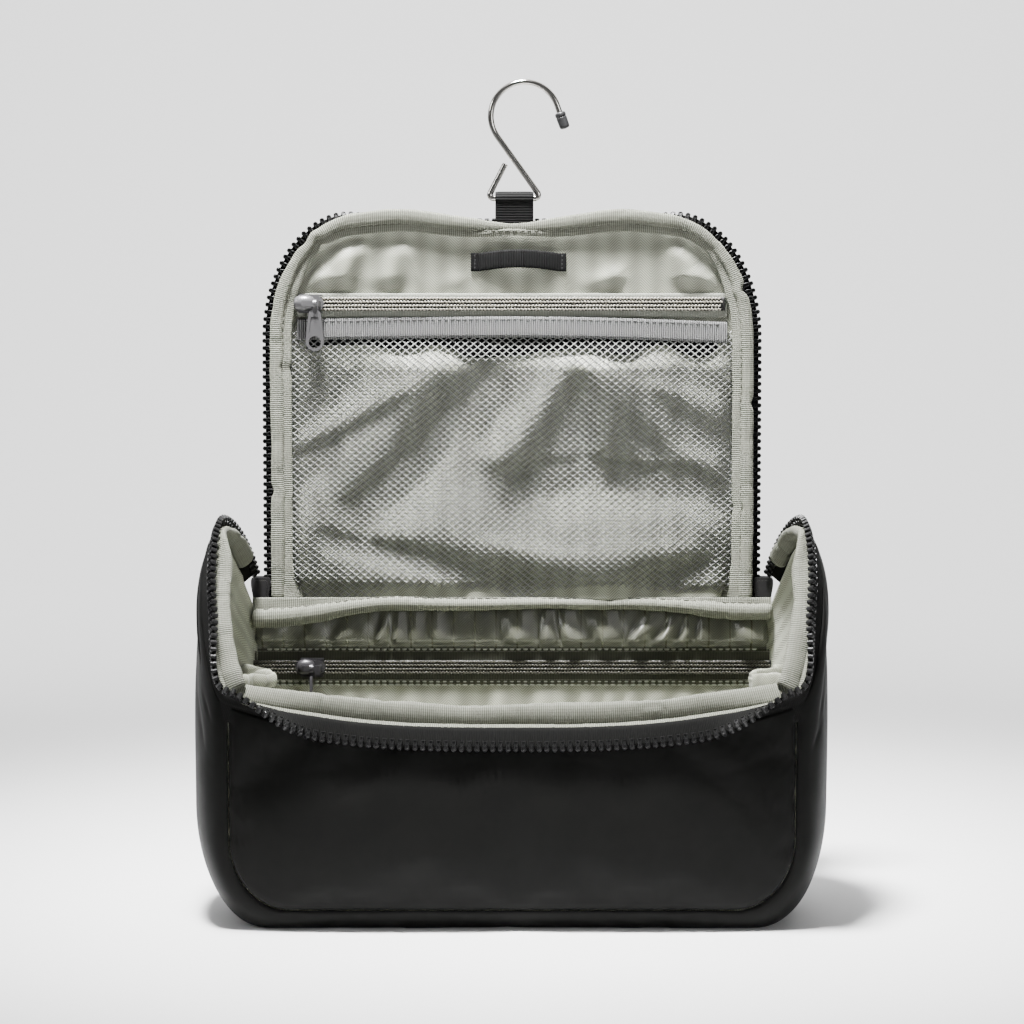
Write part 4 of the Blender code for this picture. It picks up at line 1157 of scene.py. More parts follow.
def build_lid_shell():
    grid, distance = lid_grid(LID_INSET, LID_FOLD_Z + 0.0004, LID_TOP - LID_INSET, 120, 110)
    x, z = grid[..., 0], grid[..., 2]
    out = 0.0011 * ease(distance / 0.03) + 0.0006 * bumps(x, z, 0.05, 0.05, 131) * ease(distance / 0.012)
    outside, inside = grid.copy(), grid.copy()
    outside[..., 1] = SHELL_FACE + out - rolled_in(distance, 0.0016)
    puffed = settled(outside, BACKWARDS, 0.010, 1.5, 0.0014)
    outside += (puffed - outside) * ease((z - LID_FOLD_Z - 0.014) / 0.014)[..., None]
    inside[..., 1] = LINING_FACE + LINING_THICK + 0.0004
    shell = sheet("lid_pad", outside, inside, coated, stacked(x, z))
    nodes = ("lid_shell_lower", "lid_shell_upper", "lid_foam_lower", "lid_foam_upper")
    lid_piece(shell, "coated_fabric", *nodes)


LID_FOLDS = (  # crest points with x and z, height, and width above and below (mm)
    ([(-88, 256), (-74, 264), (-66, 278)], 1.3, 7, 5),
    ([(-52, 260), (-48, 276)], 1, 6, 5),
    ([(-30, 256), (-24, 260)], 0.5, 5, 4),
    ([(34, 257), (44, 264)], 0.9, 5, 4),
    ([(70, 282), (74, 266), (92, 256)], 1.3, 6, 5),
)
LID_STREAKS = (  # points with x, z and half width (mm), and how far up (+) or down (-) the cloth faces
    ([(-97.4, 186.9, 3), (-73.8, 197.6, 2.8), (-45.9, 213.5, 2.1)], -1.00),
    ([(-11.6, 226.3, 12.8), (-35.2, 209.3, 10.7), (-48.1, 188, 6), (-71.7, 168.4, 3)], -0.85),
    ([(27, 224.1, 3), (14.2, 202.9, 8.1), (1.3, 183.7, 6)], -0.80),
    ([(29.2, 224.1, 3.8), (39.9, 202.9, 12.8), (44.2, 189, 8.5)], -0.90),
    ([(31.3, 224.1, 2.6), (52.8, 205, 6.4), (66.7, 189.7, 3)], -0.80),
    ([(-5.2, 182.7, 3.8), (22.7, 184.8, 4.3), (39.9, 186.3, 3.4)], -0.80),
    ([(-11.6, 185.9, 4.3), (-3, 166.7, 2.1)], -0.55),
    ([(39.9, 186.3, 2.6), (59.2, 182.4, 2.6), (78.5, 182.2, 2.6), (93.6, 173.1, 2.6)], -1.30),
    ([(63.5, 214.6, 3), (78.5, 205, 3.4), (93.6, 198.6, 4.3)], -0.80),
    ([(-58.8, 150.7, 2.6), (-33, 147.1, 4.7), (-11.6, 140.1, 7.7), (14.2, 135.9, 8.5), (52.8, 136.9, 7.3),
      (82.8, 143.9, 2.6)], -1.10),
    ([(-93.1, 131.2, 3), (-54.5, 130.1, 3), (-22.3, 130.1, 3)], -0.90),
    ([(-82.4, 156.1, 2.1), (-67.4, 151.8, 2.1)], -0.70),
    ([(-91, 209.3, 1.5), (-65.2, 226.3, 1.5)], -0.50),
    ([(-97.4, 195.4, 5.1), (-69.5, 210.3, 4.7), (-35.2, 225.9, 3.8)], 0.80),
    ([(18.5, 222, 3), (3.4, 202.9, 5.6), (-9.4, 191.2, 4.3)], 0.70),
    ([(-28.8, 189.7, 3), (-39.5, 166.7, 8.5), (-54.5, 157.1, 6)], 0.60),
    ([(22.7, 165.6, 9), (65.7, 166.7, 9.4), (92.5, 163.5, 8.5)], 0.70),
    ([(-11.6, 153.9, 3), (22.7, 148, 3.8), (74.2, 152.2, 3.8)], 0.80),
    ([(35.6, 227.3, 2.6), (61.4, 221, 3.8), (89.3, 213.5, 3.8)], 0.80),
    ([(70, 192.9, 2.8), (87.1, 188.4, 2.8)], 0.90),
    ([(-87.8, 176.3, 7.3), (-93.1, 164.6, 7.3)], 0.70),
    ([(-80.3, 147.6, 3), (-54.5, 142.2, 3.6), (-26.6, 135.2, 1.7)], 0.70),
    ([(52.8, 208.2, 3.2), (74.2, 197.1, 3.2)], 0.35),
    ([(-69.5, 196.1, 2.8), (-52.4, 202.4, 2.8)], 0.40),
    ([(72.1, 134.4, 2.6), (89.3, 136.9, 2.6)], 0.50),
)


def streak(x, z, path):
    """A soft band from 0 to 1 along points (x, z, half width), given in millimetres."""
    best = np.zeros(np.shape(x))
    path = np.array(path) / 1000
    for (ax, az, wide_a), (bx, bz, wide_b) in zip(path, path[1:]):
        dx, dz = bx - ax, bz - az
        t = np.clip(((x - ax) * dx + (z - az) * dz) / (dx * dx + dz * dz), 0, 1)
        away = np.hypot(x - ax - t * dx, z - az - t * dz)
        best = np.maximum(best, bell(away, wide_a + (wide_b - wide_a) * t))
    return best


FACING_UP, FACING_DOWN = 0.34, 0.54  # how steeply the cloth leans where a streak says 1 and -1
TABLE_X = np.linspace(-LID_HALF, LID_HALF, 271)
TABLE_Z = np.linspace(BAND_TOP, LID_FOLD_Z, 181)


def slack_table():
    """The cloth's forward slack behind the net: its slopes added up from the band down to the fold."""
    x, z = np.meshgrid(TABLE_X, TABLE_Z, indexing="ij")
    slope = sum(turn * streak(x, z, path) for path, turn in LID_STREAKS)
    slope = np.where(slope > 0, FACING_UP, FACING_DOWN) * slope
    slope = slope + 0.05 * bumps(x, z, 0.011, 0.009, 143)
    step = TABLE_Z[0] - TABLE_Z[1]
    depth = np.cumsum(slope, axis=1) * step
    depth = depth - depth[:, -1:] * np.linspace(0, 1, len(TABLE_Z))[None]
    depth = smoothed(depth, 9)
    lift = smoothed(np.maximum(0, -depth.min(axis=1))[:, None], 31)
    return smoothed((depth + lift).T, 3).T


def table_at(table, x, z):
    """The table read at each point, between its own points."""
    column = np.clip((x - TABLE_X[0]) / (TABLE_X[1] - TABLE_X[0]), 0, len(TABLE_X) - 1.001)
    row = np.clip((z - TABLE_Z[0]) / (TABLE_Z[1] - TABLE_Z[0]), 0, len(TABLE_Z) - 1.001)
    i, j = column.astype(int), row.astype(int)
    s, t = column - i, row - j
    near = table[i, j] * (1 - s) + table[i + 1, j] * s
    far = table[i, j + 1] * (1 - s) + table[i + 1, j + 1] * s
    return near * (1 - t) + far * t


SLACK = slack_table()


def lid_relief(x, z):
    """How far the lid's lining stands forward in its folds."""
    total = 0.0003 * (1 + bumps(x, z, 0.020, 0.020, 141)) + 0.0004 * creases(x, z, 118, 0.05, 0.012, 142)
    for crest, *sizes in LID_FOLDS:
        height, above, below = (size / 1000 for size in sizes)
        total = total + 2.3 * ridge(x, z, np.array(crest) / 1000, height, above, below)
    total = total + np.where(z < BAND_TOP, table_at(SLACK, x, z), 0.0)
    return 0.0120 * np.tanh(total / 0.0120)


def lid_slack(x, z, distance):
    """The relief, held down at the lid's edge and beside the pocket's zip."""
    held = ease((distance - 0.0015) / 0.010)
    beside = np.where(z > LID_ZIP_Z, (z - LID_ZIP_Z - 0.0046) / 0.008, (BAND_LOW - 0.002 - z) / 0.012)
    return lid_relief(x, z) * held * ease(beside)


def build_lid_lining():
    grid, distance = lid_grid(LID_INSET + 0.001, LID_FOLD_Z + 0.0004, LID_TOP - LID_INSET - 0.001, 260, 230)
    x, z = grid[..., 0], grid[..., 2]
    face, back = grid.copy(), grid.copy()
    face[..., 1] = LINING_FACE + 0.0004 - lid_slack(x, z, distance)
    back[..., 1] = LINING_FACE + LINING_THICK
    piece = sheet("lid_inner", face, back, lining, stacked(x, z))
    lid_piece(piece, "lining", "lid_lining_lower", "lid_lining_upper")


def net_depth(x, z):
    """Where the net lies in y: clear of the folds behind it, and sewn down round its edge."""
    up = (z - LID_FOLD_Z) / (MESH_TOP - LID_FOLD_Z)
    belly = 0.0016 * np.sin(np.pi * np.clip(up * 0.93 + 0.07, 0, 1)) ** 0.6 * (1 - (x / LID_HALF) ** 6)
    edge = np.minimum(LID_HALF - LID_INSET - np.abs(x), z - LID_FOLD_Z + 0.002)
    folds = lid_relief(x, z) * ease(edge / 0.011) * ease((BAND_LOW + 0.001 - z) / 0.010)
    return LINING_FACE - np.maximum(folds + 0.0003, belly) - 0.0004


def build_mesh():
    """An open net of diamonds."""
    low, half = LID_FOLD_Z + 0.0008, LID_HALF - 0.0098
    rows = int((MESH_TOP - low) / (NET_TALL / 2)) - 1
    columns = int(2 * half / NET_WIDE)
    corners, faces, known = [], [], {}

    def corner(column, row):
        key = (column, row)
        if key not in known:
            known[key] = len(corners)
            corners.append((-half + NET_WIDE / 2 * column, low + NET_TALL / 2 * row))
        return known[key]

    for row in range(1, rows):
        for column in range(1 + row % 2, 2 * columns, 2):
            around = ((column - 1, row), (column, row - 1), (column + 1, row), (column, row + 1))
            faces.append([corner(*place) for place in around])
    x, z = np.array(corners).T
    shift = 0.00025 * bumps(x, z, 0.02, 0.02, 155)
    verts = np.stack([x + shift, net_depth(x, z), z], 1)
    net = mesh_object("lid_net", verts, faces, mesh_thread, flip_check=False)
    lattice = net.modifiers.new("net", "WIREFRAME")
    lattice.thickness = 0.00070
    lattice.use_even_offset = False
    lattice.use_boundary = True
    applied(net)
    net.data.shade_smooth()
    lid_piece(net, "mesh", "lid_mesh_lower", "lid_mesh_upper")


def build_band():
    """Ribbed tape sewn over the net's top edge."""
    half, ribs, face_y = LID_ZIP_HALF + 0.001, 0.00095, 0.0443
    x, v = grid_over((-half, half, 1100), (0, 1, 12))
    sag = 0.0008 * np.cos(x / half * math.pi * 0.6) - 0.0010 * (x / half > 0) * (x / half) ** 2 * 1.4
    z = BAND_LOW + (BAND_TOP - BAND_LOW) * v + sag
    rib = 0.00011 * np.sin(x / ribs * 2 * math.pi)
    edge = 0.0004 * (np.abs(2 * v - 1) ** 6)
    wave = 0.0004 * bumps(x, z, 0.02, 0.02, 161)
    front = stacked(x, face_y + edge - rib - wave, z)
    back = stacked(x, face_y + 0.0009 - wave * 0.8, z)
    tape = sheet("pocket_band", front, back, band_tape, stacked(x, z))
    finish_piece(tape, "lid_upper", "grey_tape", "lid_pocket_band")
    for name, level in (("band_stitch_top", 0.86), ("band_stitch_low", 0.13)):
        line_x = np.linspace(-half + 0.003, half - 0.003, 200)
        line_z = BAND_LOW + (BAND_TOP - BAND_LOW) * level + np.interp(line_x, x[:, 0], sag[:, 0])
        line = stacked(line_x, face_y - 0.0004 * bumps(line_x, line_z, 0.02, 0.02, 161), line_z)
        row = stitches(name, line, FORWARDS, stitch_grey, 0.0021, 0.0006, 0.00020)
        finish_piece(row, "lid_upper", "grey_tape")
    # A black sheet just below the band, behind the net's top rows: painted shadow under the band.
    x, v = grid_over((-half + 0.004, half - 0.004, 300), (0, 1, 10))
    reach_down = 0.0046 + 0.0036 * bumps(x, 0 * x, 0.016, 1.0, 163) + 0.0016 * ease((x + 0.05) / 0.05)
    z = BAND_LOW + 0.0012 - reach_down * v
    depth = net_depth(x, z) + 0.0010
    back = stacked(x, depth + 0.0004, z)
    facing = sheet("band_painted_shadow", stacked(x, depth, z), back, black_tape, stacked(x, z))
    finish_piece(facing, "lid_upper", "grey_tape")


def build_pocket_zip(prefix, z, half, coil_face, tape_y, widths, finishes, body, slots):
    """Tape each side of a coil zip along x."""
    (tape_slot, coil_slot), (tape_finish, coil_finish, shadow_finish) = slots, finishes
    x, v = grid_over((-half - 0.001, half + 0.001, 260), (0, 1, 8))
    for side, part in ((1, "upper"), (-1, "lower")):
        across = z + side * (0.0002 + widths[0 if side > 0 else 1] * v)
        wave = 0.0003 * bumps(x, across, 0.02, 0.02, 171)
        lift = 0.0002 * np.abs(2 * v - 1) ** 4
        front = stacked(x, tape_y + lift - wave, across)
        back = stacked(x, tape_y + 0.0006 - wave * 0.6, across)
        tape = sheet(f"{prefix}_tape_{part}", front, back, tape_finish, stacked(x, across))
        finish_piece(tape, body, tape_slot)
    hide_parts(f"{prefix}_zip_tape")
    # A near-black sheet behind the coil: painted shadow between its turns.
    x, v = grid_over((-half, half, 260), (-1, 1, 6))
    level = coil_face + 0.00085 + 0.0002 * np.abs(v) ** 4
    front = stacked(x, level, z + 0.0029 * v)
    back = stacked(x, tape_y - 0.00005, z + 0.0029 * v)
    gap_shadow = sheet(f"{prefix}_core", front, back, shadow_finish, stacked(x, 0.003 * v))
    finish_piece(gap_shadow, body, coil_slot)
    for side, part in ((1, "upper"), (-1, "lower")):
        coil = coil_half(f"{prefix}_coil_{part}", half - 0.001, coil_face + 0.00045, z, side, coil_finish)
        finish_piece(coil, body, coil_slot)
        if side > 0:
            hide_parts(f"{prefix}_coil")


LID_KINKS = (  # x, z and how far the binding is pushed outwards there
    (-0.0838, 0.2806, 0.0013),
    (-0.0882, 0.2780, -0.0017),
    (-0.0935, 0.2738, 0.0010),
    (-0.0965, 0.2690, -0.0011),
    (0.0885, 0.2790, 0.0009),
    (0.0918, 0.2748, -0.0015),
    (0.0965, 0.2580, -0.0008),
    (-0.1010, 0.2250, 0.0006),
    (-0.1010, 0.1720, -0.0007),
    (0.1010, 0.2100, -0.0007),
    (0.1010, 0.1650, 0.0006),
)


def build_lid_edge():
    low = LID_FOLD_Z + 0.0006
    line, away = lid_line(LID_INSET, low)
    outward = np.broadcast_to(BACKWARDS, line.shape)
    x = line[:, 0]
    arch = ease((line[:, 2] - 0.255) / 0.02)
    corner = bell(line[:, 2] - 0.2765, 0.010)
    fold = np.radians(82 * ease((0.088 - np.abs(x)) / 0.040) * arch)
    start = line.copy()
    start[:, 1] = TEETH_Y
    start = start + away * 0.0006
    tape, edge, way, face = turned_tape("lid_tape", start, away, outward, fold, 0.0063, black_tape)
    lid_piece(tape, "black_tape", "lid_zip_tape_left", "lid_zip_tape_right", "lid_zip_tape_upper")
    chain = teeth("lid_teeth", edge - way * 0.0010, way, face, teeth_plastic)
    lid_piece(chain, "black_zip", "lid_zip_teeth_left", "lid_zip_teeth_right", "lid_zip_teeth_upper")

    loop_low, loop_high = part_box("webbing_loop")
    loop_x = (loop_low.x + loop_high.x) / 2
    pinch = bell(x - loop_x, 0.016) * arch
    rise = 0.0034 * bell(np.abs(x) - 0.048, 0.022) * arch
    puff = arch * ease((0.085 - np.abs(x)) / 0.03)
    half_up = 0.0029 + 0.0007 * puff - 0.0006 * corner - 0.0016 * pinch
    thick = 0.0016 * (1 - 0.55 * pinch)
    kink, narrow = np.zeros(len(line)), np.zeros(len(line))
    for kink_x, kink_z, shift in LID_KINKS:
        near = bell(np.hypot(x - kink_x, line[:, 2] - kink_z), 0.0021)
        kink, narrow = kink + 1.5 * shift * near, np.maximum(narrow, near)
    half_up = half_up - 0.0007 * narrow
    centre = line + away * (0.0017 + rise - 0.0012 * pinch + kink)[:, None]
    centre[:, 1] = (BINDING_FACE + BINDING_BACK) / 2 - 0.0003 + 0.0012 * pinch
    edge_roll = roll("lid_edge", centre, outward, away, thick, half_up, binding, 0.00018, 181)
    lid_piece(edge_roll, "binding", "lid_binding_left", "lid_binding_right", "lid_binding_upper")

    wide = 0.0035 - 0.0010 * corner - 0.0012 * pinch + 0.0042 * ease((0.142 - line[:, 2]) / 0.016)
    outer = centre - away * (half_up - 0.0010)[:, None]
    outer[:, 1] = BINDING_FACE + 0.0011 + 0.0006 * pinch
    inner = outer - away * (wide + 0.0010)[:, None]
    inner[:, 1] = BINDING_FACE + 0.0016
    flat = strip("lid_flange", inner, outer, -outward, 0.0006, binding, 0.00035, 187, 0.0002)
    lid_piece(flat, "binding")
    keep = slice(8, len(line) - 8)
    row_line = centre - away * (half_up - 0.0002)[:, None]
    row_line[:, 1] = BINDING_FACE + 0.0006 + 0.0006 * pinch
    row = stitches("lid_edge_stitches", row_line[keep], FORWARDS, stitch_painted_shadow, 0.0022, 0.0009, 0.00024)
    lid_piece(row, "binding")


def build_hinge():
    """The roll across the top of the back wall, the flat tape above it and the cloth over the fold."""
    count = 300
    x = np.linspace(-HINGE_HALF - 0.0015, HINGE_HALF + 0.0015, count)
    droop_x = (-0.110, -0.100, -0.085, -0.069, -0.054, -0.030, 0.0, 0.054, 0.074, 0.094, 0.110)
    droop_low = (0.1128, 0.1131, 0.1148, 0.1186, 0.1207, 0.1204, 0.1209, 0.1212, 0.1190, 0.1166, 0.1170)
    droop_top = (0.1212, 0.1216, 0.1230, 0.1254, 0.1268, 0.1262, 0.1259, 0.1262, 0.1252, 0.1242, 0.1240)
    bottom = smoothed(np.interp(x, droop_x, droop_low)[:, None], 31)[:, 0]
    top = smoothed(np.interp(x, droop_x, droop_top)[:, None], 31)[:, 0]
    across, up = (np.tile(way, (count, 1)) for way in (BACKWARDS, UPWARDS))
    centre = stacked(x, 0.0420, (bottom + top) / 2)
    half_up = (top - bottom) / 2
    piece = roll("hinge_roll", centre, across, up, 0.0031, half_up, binding, 0.00022, 191, 26)
    finish_piece(piece, "body", "binding", "hinge_binding")
    low_edge, top_edge = centre + up * (half_up - 0.0012)[:, None], centre.copy()
    low_edge[:, 1], top_edge[:, 1] = 0.0414, 0.0420
    top_edge[:, 2] = LID_FOLD_Z + 0.0013
    flat = strip("hinge_flange", low_edge, top_edge, -across, 0.0006, binding, 0.0002, 197)
    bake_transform(flat)
    line = centre + up * (half_up + 0.0001)[:, None]
    line[:, 1] = 0.0409
    row = stitches("hinge_stitches", line[6:-6], -across[6:-6], stitch_painted_shadow, 0.0024, 0.0010, 0.00026)
    finish_piece(row, "body", "binding")
    build_fold_cloth()


def build_fold_cloth():
    """Coated cloth on the outside, sewn to the back wall below the fold and to the lid above it."""
    low, high = LID_FOLD_Z - 0.013, LID_FOLD_Z + 0.013
    x, z = grid_over((-0.0985, 0.0985, 160), (low, high, 40))
    up = (z - low) / (high - low)
    lie = HALF_DEPTH + (SHELL_FACE - HALF_DEPTH) * ease(up)
    wave = 0.0003 * bumps(x, z, 0.015, 0.01, 201) * np.sin(np.pi * up)
    out = lie + 0.0024 - 0.0009 * np.abs(2 * up - 1) ** 3 + wave
    front = stacked(x, out, z)
    back = stacked(x, out - 0.0009, z)
    cloth = sheet("fold_cloth", front, back, coated, stacked(x, z))
    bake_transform(cloth)
    for name, face_y, level, body in (
        ("fold_stitch_low", HALF_DEPTH, low + 0.002, "body"),
        ("fold_stitch_top", SHELL_FACE, high - 0.002, "lid_lower"),
    ):
        line = stacked(np.linspace(-0.096, 0.096, 200), face_y + 0.00195, level)
        finish_piece(stitches(name, line, BACKWARDS, stitch_black), body, "coated_fabric")


# ---- Loop, hook and strap -----------------------------------------------------------------------
def build_loop():
    low, high = box_of("webbing_loop")
    hook_low, _ = box_of("hook_wire")
    bar_z = hook_low.z + WIRE_RADIUS
    middle_x, half = (low.x + high.x) / 2, (high.x - low.x) / 2
    bar_y = reach("hook_wire", 1, 0) + WIRE_RADIUS
    thick, radius = 0.0011, WIRE_RADIUS + 0.0005 + 0.00055
    foot = low.z - 0.0015
    turn = np.radians(np.linspace(-40, 220, 40))
    over = np.stack([bar_y + radius * np.cos(turn), bar_z + radius * np.sin(turn)], 1)
    front = np.linspace((bar_y + 0.0008, foot), over[0], 14)[:-1]
    back = front[::-1] * np.array([-1, 1]) + np.array([2 * bar_y, 0])
    (path,), lengths = resampled(np.concatenate([front, over, back]), (), 0.00025)
    along = tangents(path)
    off = np.stack([along[:, 1], -along[:, 0]], 1)
    across = np.linspace(-1, 1, 40)
    rib = 0.00009 * np.sin(lengths / 0.0011 * 2 * math.pi)
    grids = []
    for sign in (1, -1):
        shape = np.abs(across) ** 8 * 0.00025
        depth = sign * (thick / 2 + rib[:, None] - shape[None])
        yz = path[:, None] + off[:, None] * depth[..., None]
        x = np.broadcast_to(middle_x + half * across[None], depth.shape)
        grids.append(stacked(x, yz[..., 0], yz[..., 1]))
    uv = stacked(lengths[:, None], (half * across)[None])
    loop = sheet("hang_loop", grids[0], grids[1], webbing, uv)
    finish_piece(loop, "lid_upper", "black_tape", "webbing_loop")


def hook_line():
    """Points (x, z) along the wire, from its open tip to the end inside the triangle."""
    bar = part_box("hook_wire")[0].z + WIRE_RADIUS
    bend = 0.0015
    top = arc((0.0055, 0.3330), 0.0146, 20, 214, 90)
    tip = (top[0][0] + 0.0013, top[0][1] - 0.0036)
    right, left = 0.0113, -0.0095
    corner_right = arc((right - bend, bar + bend), bend, 38, -90, 14)
    corner_left = arc((left + bend, bar + bend), bend, -90, -206, 14)
    end = (-0.0027, 0.3130)
    return np.array([tip, *top, *corner_right, *corner_left, end])


def round_tube(name, centre, radius, finish, sides=20):
    """A tube through points, radius being one number or one for each point, with domed ends."""
    along = tangents(centre)
    ref = np.tile([0.0, 1.0, 0.0], (len(centre), 1))
    side = unit(np.cross(along, ref))
    up = np.cross(side, along)
    turns = np.linspace(0, 2 * math.pi, sides, endpoint=False)
    radius = np.broadcast_to(radius, len(centre))[:, None, None]
    rings = centre[:, None] + radius * (
        np.cos(turns)[None, :, None] * side[:, None] + np.sin(turns)[None, :, None] * up[:, None]
    )
    return tube(name, rings, finish, sharp=45)


def domed(lengths, radius, dome):
    """Radius along a bar whose last stretch of dome rounds off at both ends."""
    near = np.clip(np.minimum(lengths, lengths[-1] - lengths) / dome, 0, 1)
    return radius * np.sqrt(np.clip(1 - (1 - near) ** 2, 0.02, 1))


def build_hook():
    line = hook_line()
    y = reach("hook_wire", 1, 0) + WIRE_RADIUS
    points = np.insert(line, 1, y, axis=1)
    (points,), lengths = resampled(points, (), 0.0003)
    points = smoothed(points, 5)
    wire_piece = round_tube("hook", points, domed(lengths, WIRE_RADIUS, 0.0005), wire)
    finish_piece(wire_piece, "hook", "steel_wire", "hook_wire")
    away = unit((points[0] - points[3])[None])[0]
    start = points[0] + away * -0.0004
    t = np.linspace(0, 1, 40)
    centre = start + away * (0.0076 * t)[:, None]
    collar = 0.0024 * np.sqrt(np.clip(1 - (2 * t - 1) ** 12, 0.03, 1)) * (1 - 0.10 * t)
    groove = 0.00022 * bell(t - 0.30, 0.03)
    tip = round_tube("hook_cap", centre, collar - groove, cap, 28)
    finish_piece(tip, "hook", "rubber", "hook_tip")


def build_strap():
    """Ribbed tape over the lining, sewn down at both ends."""
    low, high = box_of("keeper_strap")
    middle, half = (low.x + high.x) / 2, (high.x - low.x) / 2
    s, v = grid_over((-1, 1, 330), (-1, 1, 10))
    rise = np.where(np.abs(s) > 0.85, 0, np.cos(np.clip(s / 0.85, -1, 1) * math.pi / 2))
    x = middle + half * s
    z = STRAP_Z + 0.0016 * rise + 0.0039 * v
    rib = 0.0001 * np.sin(x / 0.0009 * 2 * math.pi)
    y = 0.0457 - 0.0004 - 0.0020 * rise
    front = stacked(x, y - rib + 0.0002 * np.abs(v) ** 4, z)
    back = stacked(x, y + 0.0008, z)
    strap = sheet("strap", front, back, webbing, stacked(x, z))
    finish_piece(strap, "lid_upper", "black_tape", "keeper_strap")
    for side, name in ((-1, "left"), (1, "right")):
        line_z = np.linspace(STRAP_Z - 0.0034, STRAP_Z + 0.0034, 12)
        line = stacked(middle + side * (half - 0.0018), 0.0452, line_z)
        row = stitches(f"strap_stitch_{name}", line, FORWARDS, stitch_black, 0.0013, 0.0004)
        finish_piece(row, "lid_upper", "black_tape")


# ---- Sliders and pulls --------------------------------------------------------------------------
def bridge_shape(length, height, wide, thick, forward):
    """An arched bridge over a slider, along x, rising to height on the side of y that forward gives."""
    outer = [(-length / 2, 0.0), (-length / 2 * 0.96, height * 0.72)]
    outer += [(-length / 2 * 0.78, height), (length / 2 * 0.78, height)]
    outer += [(length / 2 * 0.96, height * 0.72), (length / 2, 0.0)]
    inner = [(x * (1 - 2 * thick / length), max(0.0, h - thick)) for x, h in outer[::-1]]
    outline = [(x, forward * h) for x, h in outer + inner]
    return extruded(outline, -wide / 2, wide / 2, thick * 0.22, 2, "xy")


def build_pocket_slider(prefix, finish, body, slot):
    low, high = box_of(f"{prefix}_slider")
    x, z = (low.x + high.x) / 2, (low.z + high.z) / 2
    coil_face = reach(f"{prefix}_coil", 1, 0)
    top = coil_face - 0.0003
    crown = top - 0.0011
    outline = arc((-0.0030, 0), 0.0042, 110, 250, 10) + arc((0.0022, 0), 0.0036, -64, 64, 10)
    plate = extruded(outline, crown, top, 0.0003, 2)
    near, far = top - 0.0006, coil_face + 0.0012
    flanges = [
        box_shape((-0.0050, near, mid - 0.00045), (0.0050, far, mid + 0.00045), 0.00015)
        for mid in (-0.0036, 0.0036)
    ]
    bridge = bridge_shape(0.0088, 0.0034, 0.0026, 0.0010, -1)
    bridge = ([(a, crown + 0.0002 + b, c) for a, b, c in bridge[0]], bridge[1])
    verts, faces = bead_shape(1.0, 1.0, 9, 20)
    size = 1.0 if prefix == "lid_pocket" else 0.82
    scale, place = np.array([0.0092 * size, 0.0056 * size, 0.0068]), (-0.0026, crown - 0.0001, 0.0004)
    dome = np.array(verts) * scale + place
    piece = parts_object(f"{prefix}_runner", [plate, *flanges, bridge, (dome, faces)], finish, (x, 0, z))
    finish_piece(piece, body, slot, f"{prefix}_slider")


def tab_outline(top, low, inset=0.0):
    right = [(0.0022 - inset, top - inset), (0.0027 - inset, top - 0.0012), (0.0040 - inset, low)]
    end = arc((0, low), 0.0040 - inset, -8, -172, 20)
    return right + end + [(-a, b) for a, b in right[::-1]]


def tab_shapes(plane, forward):
    """Shapes of a pull's tab below its axle: the tab, and what is cut from it."""
    low = -PULL_LENGTH
    tab = extruded(tab_outline(-0.0032, low), -0.0006, 0.0006, 0.00025, 2, plane)
    panel = [(0.0016, -0.0056), (0.0026, low + 0.0040), (-0.0026, low + 0.0040), (-0.0016, -0.0056)]
    sunk = extruded(panel, *sorted((forward * 0.00030, forward * 0.001)), 0, 2, plane)
    hole = extruded(arc((0, low), 0.0026, 0, 345, 23), -0.002, 0.002, 0, 2, plane)
    return tab, [sunk, hole]


def build_hanging_pull(prefix, plane, finish, body, slot, shift=0.0):
    axle = axle_of(body) + Vector((shift, 0, 0))
    ring = extruded(arc((0, 0), 0.0019, 0, 350, 35), -0.0008, 0.0008, 0.0003, 2, "yz")
    neck = box_shape((-0.0009, -0.0006, -0.0042), (0.0009, 0.0006, -0.0014), 0.0002)
    tab, cuts = tab_shapes(plane, -1)
    if plane == "yz":
        moved = [([(a, b - 0.0018, c) for a, b, c in verts], faces) for verts, faces in (tab, *cuts)]
        tab, cuts = moved[0], moved[1:]
    eye = extruded(arc((0, 0), 0.0011, 0, 350, 35), -0.002, 0.002, 0, 2, "yz")
    piece = parts_object(f"{prefix}_tab", [tab, neck, ring], finish, axle, [*cuts, eye])
    finish_piece(piece, body, slot, f"{prefix}_pull")


